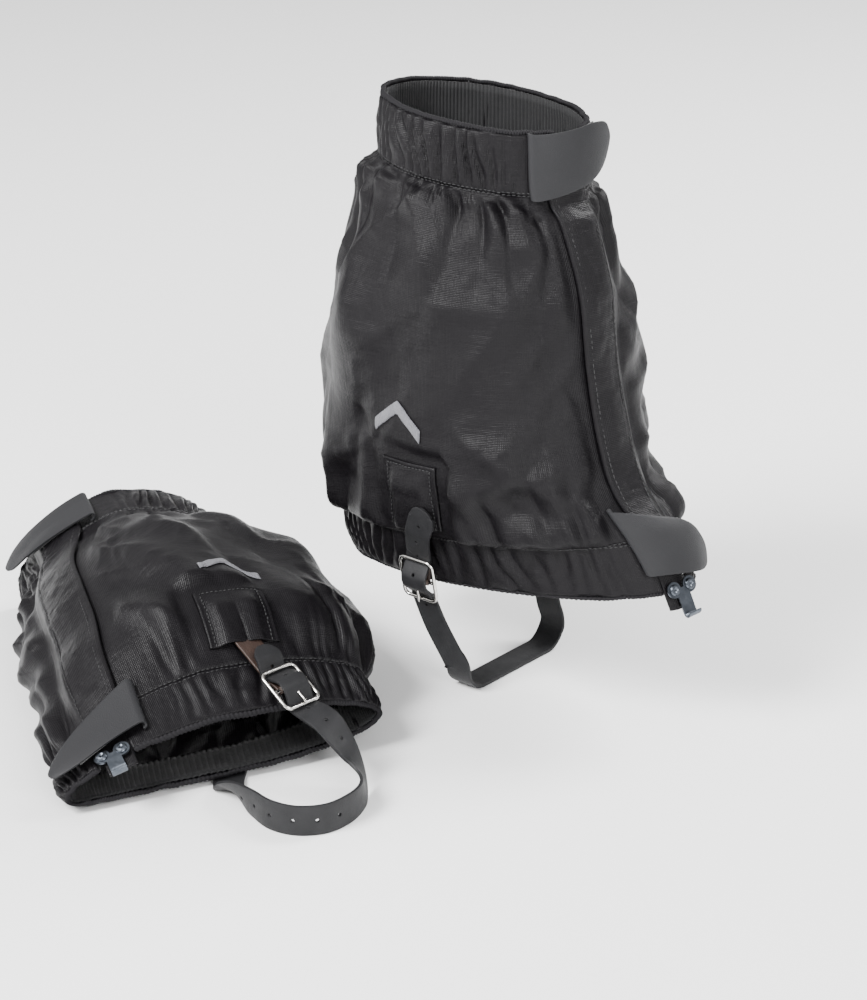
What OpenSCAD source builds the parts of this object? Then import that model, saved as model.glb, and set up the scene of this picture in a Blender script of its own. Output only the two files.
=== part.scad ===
// A pair of low ankle gaiters with front closing flap, pull tabs, lace hook and buckled instep strap.
// The right one is stretched round a leg and boot; the left one lies flat on its inner side.
// Both are drawn in one sleeve frame: X to the toe, Y to the outer side, Z up the leg.

/* [Right gaiter, worn] */
// Length of the hem round the boot
worn_hem_l = 222; // [190:1:240]
// Width of the hem round the boot
worn_hem_w = 96; // [84:1:112]
// Length where the cloth blouses over the bottom cuff
worn_blouse_l = 199; // [180:1:215]
// Width where the cloth blouses
worn_blouse_w = 118; // [104:1:130]
// Length of the body half way up
worn_body_l = 174; // [150:1:200]
// Width of the body half way up
worn_body_w = 132; // [112:1:150]
// Length at the shoulder under the top cuff
worn_shoulder_l = 141; // [122:1:160]
// Width at the shoulder
worn_shoulder_w = 100; // [86:1:120]
// Length of the rim
worn_rim_l = 121; // [100:1:146]
// Width of the rim
worn_rim_w = 80; // [68:1:96]
// Height of the back of the hem above the ground
worn_hem_z = 54; // [44:1:66]
// How much higher the hem is at the front
worn_hem_rise = 28; // [16:1:36]
// Height of the sleeve at the back, hem to rim
worn_h = 263; // [219:1:316]
// How much lower the rim is at the front
worn_rim_drop = 7; // [0:1:12]
// Middle of the hem, forward of the instep strap
worn_hem_x = 7; // [0:1:12]
// Middle of the leg, forward of the instep strap
worn_leg_x = -19; // [-26:1:-10]

/* [Left gaiter, laid flat] */
// Length of the slack hem
laid_hem_l = 170; // [150:1:196]
// Thickness of the slack hem
laid_hem_w = 34; // [30:1:44]
// Length where the cloth blouses
laid_blouse_l = 172; // [154:1:200]
// Thickness where the cloth blouses
laid_blouse_w = 68; // [58:1:80]
// Length half way up
laid_body_l = 161; // [140:1:190]
// Thickness half way up
laid_body_w = 76; // [70:1:98]
// Length at the shoulder
laid_shoulder_l = 132; // [114:1:156]
// Thickness at the shoulder
laid_shoulder_w = 62; // [54:1:80]
// Length of the rim
laid_rim_l = 114; // [98:1:136]
// Thickness of the rim
laid_rim_w = 62; // [52:1:72]
// How much the front of the hem reaches past the back
laid_hem_reach = 16; // [6:1:24]
// Length of the sleeve at the back, hem to rim
laid_h = 238; // [199:1:286]
// Middle of the laid hem, right and towards the viewer of the worn gaiter
laid_at = [-28.9, -192.7]; // [-400:0.1:400]
// Compass direction in which its top points
laid_heading = 150; // [120:1:180]

/* [Cuffs] */
// Height of the gathered top cuff
top_cuff_h = 31; // [24:1:40]
// Height of the gathered bottom cuff
bottom_cuff_h = 26; // [20:1:32]
// Thickness of the body cloth with its seams
cloth_t = 1.2; // [0.8:0.1:1.6]
// Thickness of the elastic inside each cuff
elastic_t = 1.0; // [0.6:0.1:1.4]
// Height of the corded edge binding
binding_h = 2.2; // [1.6:0.1:3.2]
// How far the binding stands out from the cloth
binding_out = 0.6; // [0.3:0.1:1]

/* [Front closure] */
// Width of the closing flap
flap_w = 24; // [20:1:29]
// Thickness of the flap
flap_t = 1.2; // [0.8:0.1:1.6]
// Thickness of each hook or loop tape
tape_t = 0.9; // [0.6:0.1:1.1]
// Where the worn flap's seam lies, outwards of the front line
worn_seam = -4; // [-8:1:4]
// Where the laid flap's seam lies, outwards of the front line
laid_seam = 20; // [14:1:26]
// Length of a pull tab
tab_l = 40; // [34:1:48]
// Thickness of a pull tab
tab_t = 1.2; // [0.8:0.1:1.5]
// How far a tab's free end stands off
tab_lift = 5; // [1:1:8]

/* [Lace hook] */
// Width across the plate's two lobes
hook_w = 19; // [16:1:22]
// Distance between the rivets
rivet_pitch = 10.5; // [9:0.5:12]
// Diameter of a rivet head
rivet_d = 6; // [5:0.5:7]
// Thickness of the plate
hook_t = 1; // [0.8:0.1:1.4]

/* [Strap and buckle] */
// Width of the instep strap
strap_w = 16; // [13.5:0.5:19]
// Thickness of the instep strap
strap_t = 2; // [1.6:0.1:2.3]
// Half distance between the strap's two upright runs at the ground
strap_half = 42; // [35:1:50]
// Diameter of a strap hole
strap_hole = 2; // [1.5:0.1:3]
// Distance between strap holes
hole_pitch = 12; // [10:1:14]
// Diameter of the buckle wire
wire_d = 2; // [1.6:0.1:2.4]
// Height of the buckle, between the middles of its outer bars
buckle_h = 24; // [21:1:27]
// Distance from the chape's stitching down to the buckle's middle bar
chape_l = 41; // [36:1:46]
// Thickness of the chape
chape_t = 1.5; // [1:0.1:1.7]
// Width of the stitched patch over the chape
patch_w = 38; // [34:1:44]
// Height of the stitched patch
patch_h = 33; // [26:1:40]

/* [Hidden] */
$fn = 32;

nylon = "#2b282c";
ribbed = "#18181a";
corded = "#1d1c1f";
sheet_grey = "#4a4a4e";
thread = "#8f8f96";

clear = 0.4;                  // gap between pieces that move past each other
gather_share = 0.4;           // how far the gather line has opened from hem size to blouse size
body_share = [0, 0.165, 0.35, 0.545, 0.735, 0.915, 1];   // height of each body ring
low = 1;                      // ring number of the bottom gather line
high = 7;                     // ring number of the top gather line
rim = 8;                      // ring number of the rim
half = 0.5;                   // row spacing along the sleeve, in rings
round_n = 40;                 // facets round the sleeve
flap_n = 8;                   // strips across the flap
open_n = 6;                   // strip at which the outer cloth edge lies under the flap
under_gap = 0.8;              // slit between the under-flap and the seam
flap_o = 2 * tape_t + clear + 0.4;        // height of the flap's inner face over the cloth
fold_r = 2.6;                 // radius of a tab's fold
fold_m = flap_w + fold_r + 3;           // fold of the tabs, outwards of the flap's seam
tape_gap = 0.35;              // stitching gap between a tab and its hook patch
fold_o = flap_o + flap_t + clear + tape_t + tape_gap + tab_t - fold_r;  // height of the fold's middle
bar_o = 4.2 + strap_t + chape_t - 1.1;    // height of the buckle's bars over the cloth
pivot_up = 12;                // strap pivot above the bottom gather line
pivot_x = [-18, -20];         // strap pivot along the sleeve, worn and laid
lean = [11, 30];              // slope of the cuff under the strap, worn and laid
swing = [0, 25];              // how far the strap has swung back, worn and laid
loop_r = wire_d / 2 + 0.15;   // inner radius of what wraps the buckle's middle bar
floor_gap = strap_t + tape_t + 0.7;       // height of the laid gaiter's underside
front_droop = 0.65;           // how far the laid gaiter's front edge hangs, as a share of its half thickness

function mix(p, q, f) = p + (q - p) * f;
function pick(g, worn, laid) = g == "worn" ? worn : laid;
function unit(v) = v / norm(v);

// A ring is [middle x, half length, half width, middle height, rise to the front].
function body_ring(i, girth, hem, tall, drop, x) =
    let (f = body_share[i], rise = hem[1] * pow(1 - f, 3) - drop * pow(f, 8),
         gather_x = mix(x[0], x[1], 1 / 3))
    [x[1] + (gather_x - x[1]) * pow(1 - f, 5) + x[2] * sin(180 * f), girth[i][0] / 2,
     girth[i][1] / 2, hem[0] + bottom_cuff_h + f * (tall - bottom_cuff_h - top_cuff_h) + rise / 2, rise];

function rings(hem_g, blouse, waist, shoulder, rim_g, hem, tall, drop, x) =
    let (girth = [mix(hem_g, blouse, gather_share), blouse, mix(blouse, waist, 0.5), waist,
                  mix(waist, shoulder, 0.3), shoulder, mix(rim_g, shoulder, 0.2)])
    concat([[x[0], hem_g[0] / 2, hem_g[1] / 2, hem[0] + hem[1] / 2, hem[1]]],
           [for (i = [0:6]) body_ring(i, girth, hem, tall, drop, x)],
           [[x[1], rim_g[0] / 2, rim_g[1] / 2, hem[0] + tall - drop / 2, -drop]]);

WORN_RINGS = rings([worn_hem_l, worn_hem_w], [worn_blouse_l, worn_blouse_w], [worn_body_l, worn_body_w],
                   [worn_shoulder_l, worn_shoulder_w], [worn_rim_l, worn_rim_w],
                   [worn_hem_z, worn_hem_rise], worn_h, worn_rim_drop, [worn_hem_x, worn_leg_x, -1]);
LAID_RINGS = rings([laid_hem_l, laid_hem_w], [laid_blouse_l, laid_blouse_w], [laid_body_l, laid_body_w],
                   [laid_shoulder_l, laid_shoulder_w], [laid_rim_l, laid_rim_w],
                   [2, -laid_hem_reach], laid_h, 0, [1, -1, -6]);

// smooth curve through the rings, carried on straight past both ends
function spline(a, b, c, d, f) =
    (2 * b + (c - a) * f + (2 * a - 5 * b + 4 * c - d) * f * f + (3 * b - a - 3 * c + d) * f * f * f) / 2;
function ring(g, s) =
    let (R = pick(g, WORN_RINGS, LAID_RINGS), i = min(max(floor(s), 0), rim - 1), f = s - i,
         before = i > 0 ? R[i - 1] : 2 * R[0] - R[1],
         after = i < rim - 1 ? R[i + 2] : 2 * R[rim] - R[rim - 1])
    s < 0 || s > rim ? mix(R[i], R[i + 1], f) : spline(before, R[i], R[i + 1], after, f);

// point at angle u from the front, ring number s, height o over the cloth's outer face
function skin(g, u, s, o) =
    let (r = ring(g, s), across = (r[2] + o) * sin(u),
         resting = across + r[2] * (1 - front_droop * pow(max(0, cos(u)), 1.5)))
    [r[0] + (r[1] + o) * cos(u), pick(g, across, floor_gap + max(resting, -o)), r[3] + r[4] / 2 * cos(u)];

// angle whose chord from the front line is m on ring r, outwards positive
function reach(r, u) = norm([r[1] * (1 - cos(u)), r[2] * sin(u)]);
function turn(r, m, lo = 0, hi = 100, n = 18) =
    n == 0 ? lo
    : reach(r, (lo + hi) / 2) < m ? turn(r, m, (lo + hi) / 2, hi, n - 1)
    : turn(r, m, lo, (lo + hi) / 2, n - 1);
function front_u(g, m, s) = sign(m) * turn(ring(g, s), abs(m));
function seam(g) = pick(g, worn_seam, laid_seam);
function front(g, m, s, o) = skin(g, front_u(g, seam(g) + m, s), s, o);

// ring number at height z, and a point on the outer or inner side at x and z
function level(g, z, lo = 0, hi = 8, n = 18) =
    n == 0 ? lo
    : ring(g, (lo + hi) / 2)[3] < z ? level(g, z, (lo + hi) / 2, hi, n - 1)
    : level(g, z, lo, (lo + hi) / 2, n - 1);
function side(g, x, z, o, way = 1) =
    let (s = level(g, z), r = ring(g, s))
    skin(g, way * acos((x - r[0]) / r[1]), s, o);

// the strap's pivot under the patch: [x, height over the cloth, z]
function px(g) = pick(g, pivot_x[0], pivot_x[1]);
function pz(g) = ring(g, low)[3] + pivot_up;
function outer_y(g, z, x) = side(g, x, z, 0)[1];
function lean_of(g) = pick(g, lean[0], lean[1]);
function swing_of(g) = pick(g, swing[0], swing[1]);

// strap frame: X across the strap, Y away from the cuff, Z up, origin on the buckle's middle bar
function hang(g, p) =
    let (a = lean_of(g), w = swing_of(g), z = p[2] - chape_l,
         y1 = p[1] * cos(a) + z * sin(a), z1 = z * cos(a) - p[1] * sin(a))
    [px(g) + p[0] * cos(w) + z1 * sin(w), outer_y(g, pz(g), px(g)) + bar_o + y1,
     pz(g) - p[0] * sin(w) + z1 * cos(w)];
module hanging(g) {
    translate([px(g), outer_y(g, pz(g), px(g)) + bar_o, pz(g)])
        rotate([0, swing_of(g), 0]) rotate([-lean_of(g), 0, 0]) translate([0, 0, -chape_l]) children();
}

// moves one sleeve frame to its place in the pair
module place(g) {
    if (g == "worn") {
        mirror([0, 1, 0]) children();
    } else {
        translate([laid_at[0], laid_at[1], 0]) rotate([90, 0, laid_heading + 90]) children();
    }
}

// closed sheet between two grids of points, rows by columns
module sheet(top, under) {
    rows = len(top);
    cols = len(top[0]);
    n = rows * cols;
    points = concat([for (r = top) each r], [for (r = under) each r]);
    quads = [for (i = [0:rows - 2], j = [0:cols - 2]) i * cols + j];
    ends = [for (i = [0:rows - 2]) i * cols];
    last = n - cols;
    faces = concat(
        [for (a = quads) each [[a, a + 1, a + cols + 1], [a, a + cols + 1, a + cols]]],
        [for (a = quads) each [[n + a, n + a + cols + 1, n + a + 1], [n + a, n + a + cols,
                n + a + cols + 1]]],
        [for (a = ends) each [[a, a + cols, n + a + cols], [a, n + a + cols, n + a]]],
        [for (a = ends) let (b = a + cols - 1)
            each [[b + cols, b, n + b], [b + cols, n + b, n + b + cols]]],
        [for (j = [0:cols - 2]) each [[j + 1, j, n + j], [j + 1, n + j, n + j + 1]]],
        [for (j = [last:n - 2]) each [[j, j + 1, n + j + 1], [j, n + j + 1, n + j]]]);
    polyhedron(points, faces);
}

// sheet round the sleeve from the cloth's outer edge under the flap to the flap's seam
function round_u(g, s, i) =
    mix(front_u(g, seam(g) + flap_w * open_n / flap_n, s), 360 + front_u(g, seam(g), s), i / round_n);
function round_grid(g, levels, o) = [for (i = [0:round_n]) [for (s = levels) skin(g, round_u(g, s, i),
        s, o)]];
module wrap(g, from, to, inner, outer) {
    levels = [for (s = [from:half:to]) s];
    sheet(round_grid(g, levels, outer), round_grid(g, levels, inner));
}

// sheet across the front closure, m measured outwards from the flap's seam
module front_sheet(g, ms, levels, inner, outer) {
    sheet([for (m = ms) [for (s = levels) front(g, m, s, outer)]],
          [for (m = ms) [for (s = levels) front(g, m, s, inner)]]);
}

// sheet on the outer or inner side between x and z limits
module side_sheet(g, xs, zs, inner, outer, way = 1) {
    top = [for (x = way > 0 ? xs : [for (i = [len(xs) - 1:-1:0]) xs[i]]) [for (z = zs) side(g, x, z,
            outer, way)]];
    under = [for (x = way > 0 ? xs : [for (i = [len(xs) - 1:-1:0]) xs[i]]) [for (z = zs) side(g, x, z,
            inner, way)]];
    sheet([for (i = [len(top) - 1:-1:0]) top[i]], [for (i = [len(under) - 1:-1:0]) under[i]]);
}

// flat strip along a path, each stop being [point, outward direction, width]
function along(path, i) =
    unit(path[min(i + 1, len(path) - 1)][0] - path[max(i - 1, 0)][0]);
function across(path, i) = unit(cross(path[i][1], along(path, i)));
function facing(path, i) = cross(along(path, i), across(path, i));
function strip_grid(path, o) =
    [for (i = [0:len(path) - 1])
        [for (k = [-0.5, 0.5]) path[i][0] + facing(path, i) * o + across(path, i) * k * path[i][2]]];
module strip(path, thick) {
    sheet(strip_grid(path, thick / 2), strip_grid(path, -thick / 2));
}

module body(g) {
    color(nylon) place(g) wrap(g, low, high, -cloth_t, 0);
}

module top_cuff(g) {
    color(nylon) place(g) wrap(g, high, rim, -cloth_t, 0);
}

module bottom_cuff(g) {
    color(nylon) place(g) wrap(g, 0, low, -cloth_t, 0);
}

module top_elastic(g) {
    color(ribbed) place(g) wrap(g, high, rim, -cloth_t - elastic_t, -cloth_t);
}

module bottom_elastic(g) {
    color(ribbed) place(g) wrap(g, 0, low, -cloth_t - elastic_t, -cloth_t);
}

// corded edge past the rim or the hem; way is 1 at the rim and -1 at the hem
module binding(g, way) {
    edge = way > 0 ? rim : 0;
    step = binding_h / (way > 0 ? top_cuff_h : bottom_cuff_h);
    near = edge + way * 0.01;
    far = edge + way * step;
    levels = way > 0 ? [near, mix(near, far, 0.7), far] : [far, mix(near, far, 0.7), near];
    full = way > 0 ? [1, 1, 0.5] : [0.5, 1, 1];
    middle = -(cloth_t + elastic_t) / 2;
    reach_out = binding_out - middle;
    color(corded) place(g)
        sheet([for (i = [0:round_n])
                  [for (j = [0:2]) skin(g, round_u(g, levels[j], i), levels[j],
                          middle + reach_out * full[j])]],
              [for (i = [0:round_n])
                  [for (j = [0:2]) skin(g, round_u(g, levels[j], i), levels[j],
                          middle - reach_out * full[j])]]);
}

strips = [for (k = [0:flap_n]) flap_w * k / flap_n];
closure_levels = [for (s = [0:half:rim]) s];
tongue = -0.35;               // how far the under-flap runs past the hem, in rings
tape_levels = [for (s = [low:half:high]) s];

module under_flap(g) {
    ms = [for (k = [0:open_n]) k == 0 ? under_gap : strips[k]];
    color(nylon) place(g) front_sheet(g, ms, concat([tongue], closure_levels), -cloth_t, 0);
}

module loop_tape(g) {
    color(ribbed) place(g) front_sheet(g, [for (k = [1:open_n - 1]) strips[k]], tape_levels, 0, tape_t);
}

module flap(g) {
    levels = [for (s = [half:half:rim]) s];
    color(nylon) place(g) front_sheet(g, strips, levels, flap_o, flap_o + flap_t);
}

module hook_tape(g) {
    color(ribbed) place(g) front_sheet(g, [for (k = [1:open_n - 1]) strips[k]], tape_levels,
            flap_o - tape_t, flap_o);
}

// Tabs: the outer leaf lies over the flap and turns under at a round fold.
top_tab_levels = [6.95, 8.05];
worn_bottom_levels = [0.42, 1.75];
laid_bottom_levels = [0.3, 1.45];
leaf_n = 8;
fold_n = 6;
function leaf_o(d) = tab_lift * pow(d / tab_l, 2);
function tab_outer(d) = [fold_m - d, fold_o + fold_r + leaf_o(d)];
function tab_inner(d) = [fold_m - d, fold_o + fold_r - tab_t + leaf_o(d)];
function fold_pt(a, r) = [fold_m + r * sin(a), fold_o + r * cos(a)];
// the leaf narrows in a round end
end_r = 16;
end_share = 0.75;             // how much of its width the leaf loses at the very end
end_taper = 0.16;             // and how much of it along the way
function leaf_share(d) =
    let (past = max(0, d - (tab_l - end_r)) / end_r)
    (1 - end_taper * d / tab_l) * (1 - end_share * (1 - sqrt(max(0, 1 - past * past))));
function tab_row(g, p, lv, share) =
    [for (k = [-2:2]) front(g, p[0], mix(lv[0], lv[1], 0.5 + k / 4 * share), p[1])];
module tab(g, lv) {
    ds = concat([for (i = [0:leaf_n]) (tab_l - end_r) * i / leaf_n],
                [for (a = [20, 40, 55, 70, 90]) tab_l - end_r * (1 - sin(a))]);
    angles = [for (i = [fold_n:-1:1]) 180 * i / fold_n];
    outer = concat([for (i = [len(ds) - 1:-1:0]) tab_row(g, tab_outer(ds[i]), lv, leaf_share(ds[i]))],
                   [for (i = [fold_n - 1:-1:0]) tab_row(g, fold_pt(angles[i], fold_r), lv, 1)]);
    inner = concat([for (i = [len(ds) - 1:-1:0]) tab_row(g, tab_inner(ds[i]), lv, leaf_share(ds[i]))],
                   [for (i = [fold_n - 1:-1:0]) tab_row(g, fold_pt(angles[i], fold_r - tab_t), lv, 1)]);
    color(sheet_grey) place(g) sheet(outer, inner);
}

hook_start = 8;               // tab hook patch, from the fold
hook_end = 30;
module tab_hook(g, lv) {
    ds = [for (i = [6:-1:0]) mix(hook_start, hook_end, i / 6)];
    color(ribbed) place(g)
        sheet([for (d = ds) tab_row(g, tab_inner(d) - [0, tape_gap], lv, 0.8)],
              [for (d = ds) tab_row(g, tab_inner(d) - [0, tape_gap + tape_t], lv, 0.8)]);
}

// frame of the lace hook on the tongue: X outwards along the hem, Y up the cloth, Z off the cloth
hook_m = 9;
hook_s = 0.05;
module on_tongue(g, o) {
    c = front(g, hook_m, hook_s, o);
    up = unit(front(g, hook_m, hook_s + 0.2, 0) - front(g, hook_m, hook_s - 0.2, 0));
    out = unit(front(g, hook_m + 3, hook_s, 0) - front(g, hook_m - 3, hook_s, 0));
    off = unit(cross(out, up));
    level_out = cross(up, off);
    multmatrix([[level_out[0], up[0], off[0], c[0]], [level_out[1], up[1], off[1], c[1]],
                [level_out[2], up[2], off[2], c[2]], [0, 0, 0, 1]]) children();
}

hook_o = 1.6;                 // the plate's underside over the tongue's middle
lobe_r = (hook_w - rivet_pitch) / 2;
shank_d = 3;
stem_w = 8;
stem_l = 9;
curl_r = 2.6;
module lace_hook(g) {
    color("silver") place(g) on_tongue(g, hook_o) {
        difference() {
            linear_extrude(hook_t) union() {
                for (k = [-1, 1]) translate([k * rivet_pitch / 2, 0]) circle(lobe_r);
                translate([-rivet_pitch / 2, -lobe_r]) square([rivet_pitch, lobe_r]);
                translate([-stem_w / 2, -lobe_r - stem_l]) square([stem_w, stem_l + 1]);
            }
            for (k = [-1, 1]) translate([k * rivet_pitch / 2, 0, -1]) cylinder(d = shank_d + 0.1,
                    h = hook_t + 2);
        }
        translate([-stem_w / 2, -lobe_r - stem_l, curl_r]) rotate([0, 90, 0]) difference() {
            cylinder(r = curl_r, h = stem_w);
            translate([0, 0, -1]) cylinder(r = curl_r - hook_t, h = stem_w + 2);
            translate([-curl_r - 1, 0, -1]) cube([2 * curl_r + 2, curl_r + 1, stem_w + 2]);
        }
    }
}

module rivets(g) {
    color("gainsboro") place(g) on_tongue(g, hook_o)
        for (k = [-1, 1]) translate([k * rivet_pitch / 2, 0, 0]) {
            cylinder(d = shank_d, h = hook_t + 0.5);
            translate([0, 0, hook_t]) rotate_extrude() polygon([[0, 0], [rivet_d / 2, 0],
                [rivet_d / 2, 0.5], [rivet_d / 2 - 0.6, 1.2], [1.4, 1.4], [0.6, 1], [0, 0.9]]);
        }
}

module rivet_caps(g) {
    cap_o = -cloth_t - 2.6;
    color("dimgray") place(g) on_tongue(g, cap_o)
        for (k = [-1, 1]) translate([k * rivet_pitch / 2, 0, 0]) cylinder(d = rivet_d, h = 0.8);
}

// stitched patch: its rim is sewn down and its middle is a pocket for the chape, open below
pocket_o = chape_t + 3.4;
patch_t = 1;
module patch(g) {
    xs = [for (i = [-4:4]) px(g) + patch_w / 2 * i / 4];
    zs = [for (j = [0:5]) pz(g) - 3 + patch_h * j / 5];
    top = [for (i = [8:-1:0]) [for (z = zs) side(g, xs[i], z, pocket_o + patch_t)]];
    under = [for (i = [8:-1:0])
                [for (j = [0:5]) side(g, xs[i], zs[j], i < 1 || i > 7 || j == 5 ? 0.3 : pocket_o)]];
    color(nylon) place(g) sheet(top, under);
}

chape_in = -3.2 - strap_t / 2 - 0.2;      // middle of the chape behind the strap
chape_w = strap_w - 2;
prong_gap = 4.4;
module chape(g) {
    r = loop_r + chape_t;
    color("saddlebrown") place(g) hanging(g) difference() {
        translate([-chape_w / 2, 0, 0]) rotate([90, 0, 90]) linear_extrude(chape_w) difference() {
            union() {
                circle(r);
                polygon([[-r, 0], [chape_in - chape_t / 2, 10], [chape_in - chape_t / 2, chape_l + 3],
                         [chape_in + chape_t / 2, chape_l + 3], [chape_in + chape_t / 2, 10],
                                 [-loop_r + 0.3, 0]]);
            }
            circle(loop_r);
        }
        translate([-prong_gap / 2, -8, -5]) cube([prong_gap, 12, 12]);
    }
}

buckle_w = strap_w + 6;
corner_r = 3;
module wire(from, to) {
    d = to - from;
    translate(from) rotate([0, acos(d[2] / norm(d)), atan2(d[1], d[0])]) cylinder(d = wire_d, h = norm(d));
}
module buckle(g) {
    x = buckle_w / 2;
    z = buckle_h / 2;
    color("gainsboro") place(g) hanging(g) {
        wire([-x, 0, 0], [x, 0, 0]);
        for (k = [-1, 1]) {
            wire([corner_r - x, 0, k * z], [x - corner_r, 0, k * z]);
            wire([k * x, 0, corner_r - z], [k * x, 0, z - corner_r]);
            for (m = [-1, 1])
                translate([k * (x - corner_r), 0, m * (z - corner_r)])
                    mirror([k < 0 ? 1 : 0, 0, 0]) mirror([0, 0, m < 0 ? 1 : 0]) rotate([90, 0, 0])
                        rotate_extrude(angle = 90) translate([corner_r, 0]) circle(d = wire_d);
        }
    }
}

prong_d = 1.8;
prong_r = loop_r + 1.6;
module prong(g) {
    tip = [0, wire_d / 2 + prong_d / 2 + 0.1, -buckle_h / 2 - 1.5];
    start = [0, prong_r - 0.5, 0];
    color("gainsboro") place(g) hanging(g) {
        difference() {
            union() {
                translate([-prong_gap / 2 + 0.6, 0, 0]) rotate([0, 90, 0]) cylinder(r = prong_r,
                        h = prong_gap - 1.2);
                translate(start) rotate([180 - atan2(start[1] - tip[1], start[2] - tip[2]), 0, 0])
                    cylinder(d = prong_d, h = norm(tip - start));
            }
            translate([-prong_gap, 0, 0]) rotate([0, 90, 0]) cylinder(r = loop_r, h = 2 * prong_gap);
        }
    }
}

// Strap: tip, over the patch, through the buckle, under the arch and up the inner side.
hump = loop_r + chape_t + strap_t / 2 + 0.3;      // the strap over the middle bar
behind = -(wire_d + strap_t) / 2 - 0.5;           // the strap behind an outer bar
over_patch = 1.7;                                 // the strap over the patch
tip_up = [48, 27];                                // tip above the middle bar, worn and laid
tip_x = [12, 0];                                  // tip forward of the buckle, worn and laid
function through(g) =
    let (up = pick(g, tip_up[0], tip_up[1]), tx = pick(g, tip_x[0], tip_x[1]), z = buckle_h / 2,
         a = lean_of(g), w = swing_of(g), n = [-sin(a) * sin(w), cos(a), -sin(a) * cos(w)],
         stops = [[tx, over_patch, up, 3], [tx * 0.92, over_patch, up - 3.5, 10], [tx * 0.85,
                 over_patch, up - 7, 16],
                  [tx * 0.4, over_patch * 0.6, (up + z) / 2 - 1, 16], [tx * 0.1, behind * 0.7, z + 3, 16],
                  [0, behind, z, 16], [0, behind * 0.7, z - 2, 16], [0, hump * 0.75, 4, 16], [0, hump,
                          1.5, 16],
                  [0, hump, -1.5, 16], [0, hump * 0.75, -4, 16], [0, behind * 0.7, 2 - z, 16], [0,
                          behind, -z, 16]])
    [for (p = stops) [hang(g, [p[0], p[1], p[2]]), n, strap_w * p[3] / 16]];

bend_r = 14;                                      // the strap's bend at each side of the sole
ground = strap_t / 2;
function worn_run() =
    let (y = strap_half, inner = -outer_y("worn", pz("worn"), px("worn")) - tape_t - strap_t / 2 - 1.6)
    concat(
        [[[-13, y + 3.5, 38], [0, 1, -0.1], strap_w], [[-5, y + 0.5, 22], [0, 1, -0.1], strap_w]],
        [for (a = [0, 30, 60, 90]) [[0, y - bend_r + bend_r * cos(a), ground + bend_r - bend_r * sin(a)],
                                    [0, cos(a), -sin(a)], strap_w]],
        [for (a = [90, 60, 30, 0]) [[0, -y + bend_r - bend_r * cos(a), ground + bend_r - bend_r * sin(a)],
                                    [0, -cos(a), -sin(a)], strap_w]],
        [[[-5, -y - 1, 30], [0, -1, -0.1], strap_w], [[-12, inner + 5, 66], [0, -1, -0.1], strap_w],
         [[px("worn"), inner, pz("worn") - 6], [0, -1, -0.1], strap_w],
         [[px("worn"), inner, pz("worn") + 4], [0, -1, 0], strap_w]]);

// The laid strap drops from the buckle, turns on edge round a loop on the ground and runs back flat.
edge_y = strap_w / 2 + 0.3;
flat_y = strap_t / 2 + 0.2;
function laid_run() = [
    [[-47, 33, -21], [-0.1, 1, -0.7], strap_w], [[-53, 24, -30], [-0.5, 0.9, -0.7], strap_w],
    [[-57, 15, -39], [-1, 0.6, -0.6], strap_w], [[-57, edge_y + 1, -50], [-1, 0.25, -0.3], strap_w],
    [[-52, edge_y, -61], [-1, 0, -0.7], strap_w], [[-42, edge_y, -70], [-0.6, 0, -1], strap_w],
    [[-29, edge_y, -75], [-0.1, 0, -1], strap_w], [[-15, edge_y, -72], [0.5, 0, -1], strap_w],
    [[-5, edge_y, -62], [1, 0, -0.8], strap_w], [[0, edge_y, -48], [1, -0.1, -0.3], strap_w],
    [[3, edge_y - 1, -36], [1, -0.4, 0], strap_w], [[4, 5, -25], [0.6, -0.9, 0], strap_w],
    [[3, flat_y, -15], [0, -1, 0], strap_w], [[-1, flat_y, -3], [0, -1, 0], strap_w],
    [[-9, flat_y, 14], [0, -1, 0], strap_w], [[px("laid"), flat_y, pz("laid") + 4], [0, -1, 0], strap_w]];
function strap_path(g) = concat(through(g), g == "worn" ? worn_run() : laid_run());

// holes along the strap, each at a stop-to-stop share of the path
worn_holes = [2.3, 3, 4, 13.4, 14.4, 18.5];
laid_holes = [2.2, 17.2, 18.2, 19.1, 20, 21, 22];
module strap(g) {
    path = strap_path(g);
    color("dimgray") place(g) difference() {
        strip(path, strap_t);
        hanging(g) translate([-1.6, behind - 3, -buckle_h / 2 + 3]) cube([3.2, hump - behind + 6,
                buckle_h / 2 - 1]);
        for (h = pick(g, worn_holes, laid_holes)) {
            i = floor(h);
            c = mix(path[i][0], path[i + 1][0], h - i);
            z = unit(facing(path, i) + facing(path, i + 1));
            x = unit(cross(along(path, i), z));
            y = cross(z, x);
            multmatrix([[x[0], y[0], z[0], c[0]], [x[1], y[1], z[1], c[1]], [x[2], y[2], z[2], c[2]],
                    [0, 0, 0, 1]])
                translate([0, 0, -4]) cylinder(d = strap_hole, h = 8, $fn = 16);
        }
    }
}

module anchor(g) {
    xs = [for (i = [-3:3]) px(g) + 11 * i / 3];
    zs = [for (j = [0:3]) pz(g) - 9 + 18 * j / 3];
    color(nylon) place(g) side_sheet(g, xs, zs, 0.05, tape_t, -1);
}

// plain raised chevron in thread
emblem_gap = 10;              // chevron above the patch
emblem_back = 6;              // chevron behind the strap's pivot
emblem_w = 34;
emblem_h = 13;
emblem_stroke = 7;
function emblem_grid(g, o) =
    [for (i = [4:-1:-4])
        [for (k = [0, 1])
            side(g, px(g) - emblem_back + emblem_w * i / 8,
                 pz(g) + patch_h + emblem_gap + emblem_h * (1 - abs(i) / 4) + k * emblem_stroke, o)]];
module emblem(g) {
    color(thread) place(g) sheet(emblem_grid(g, 1.1), emblem_grid(g, 0.3));
}

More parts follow.
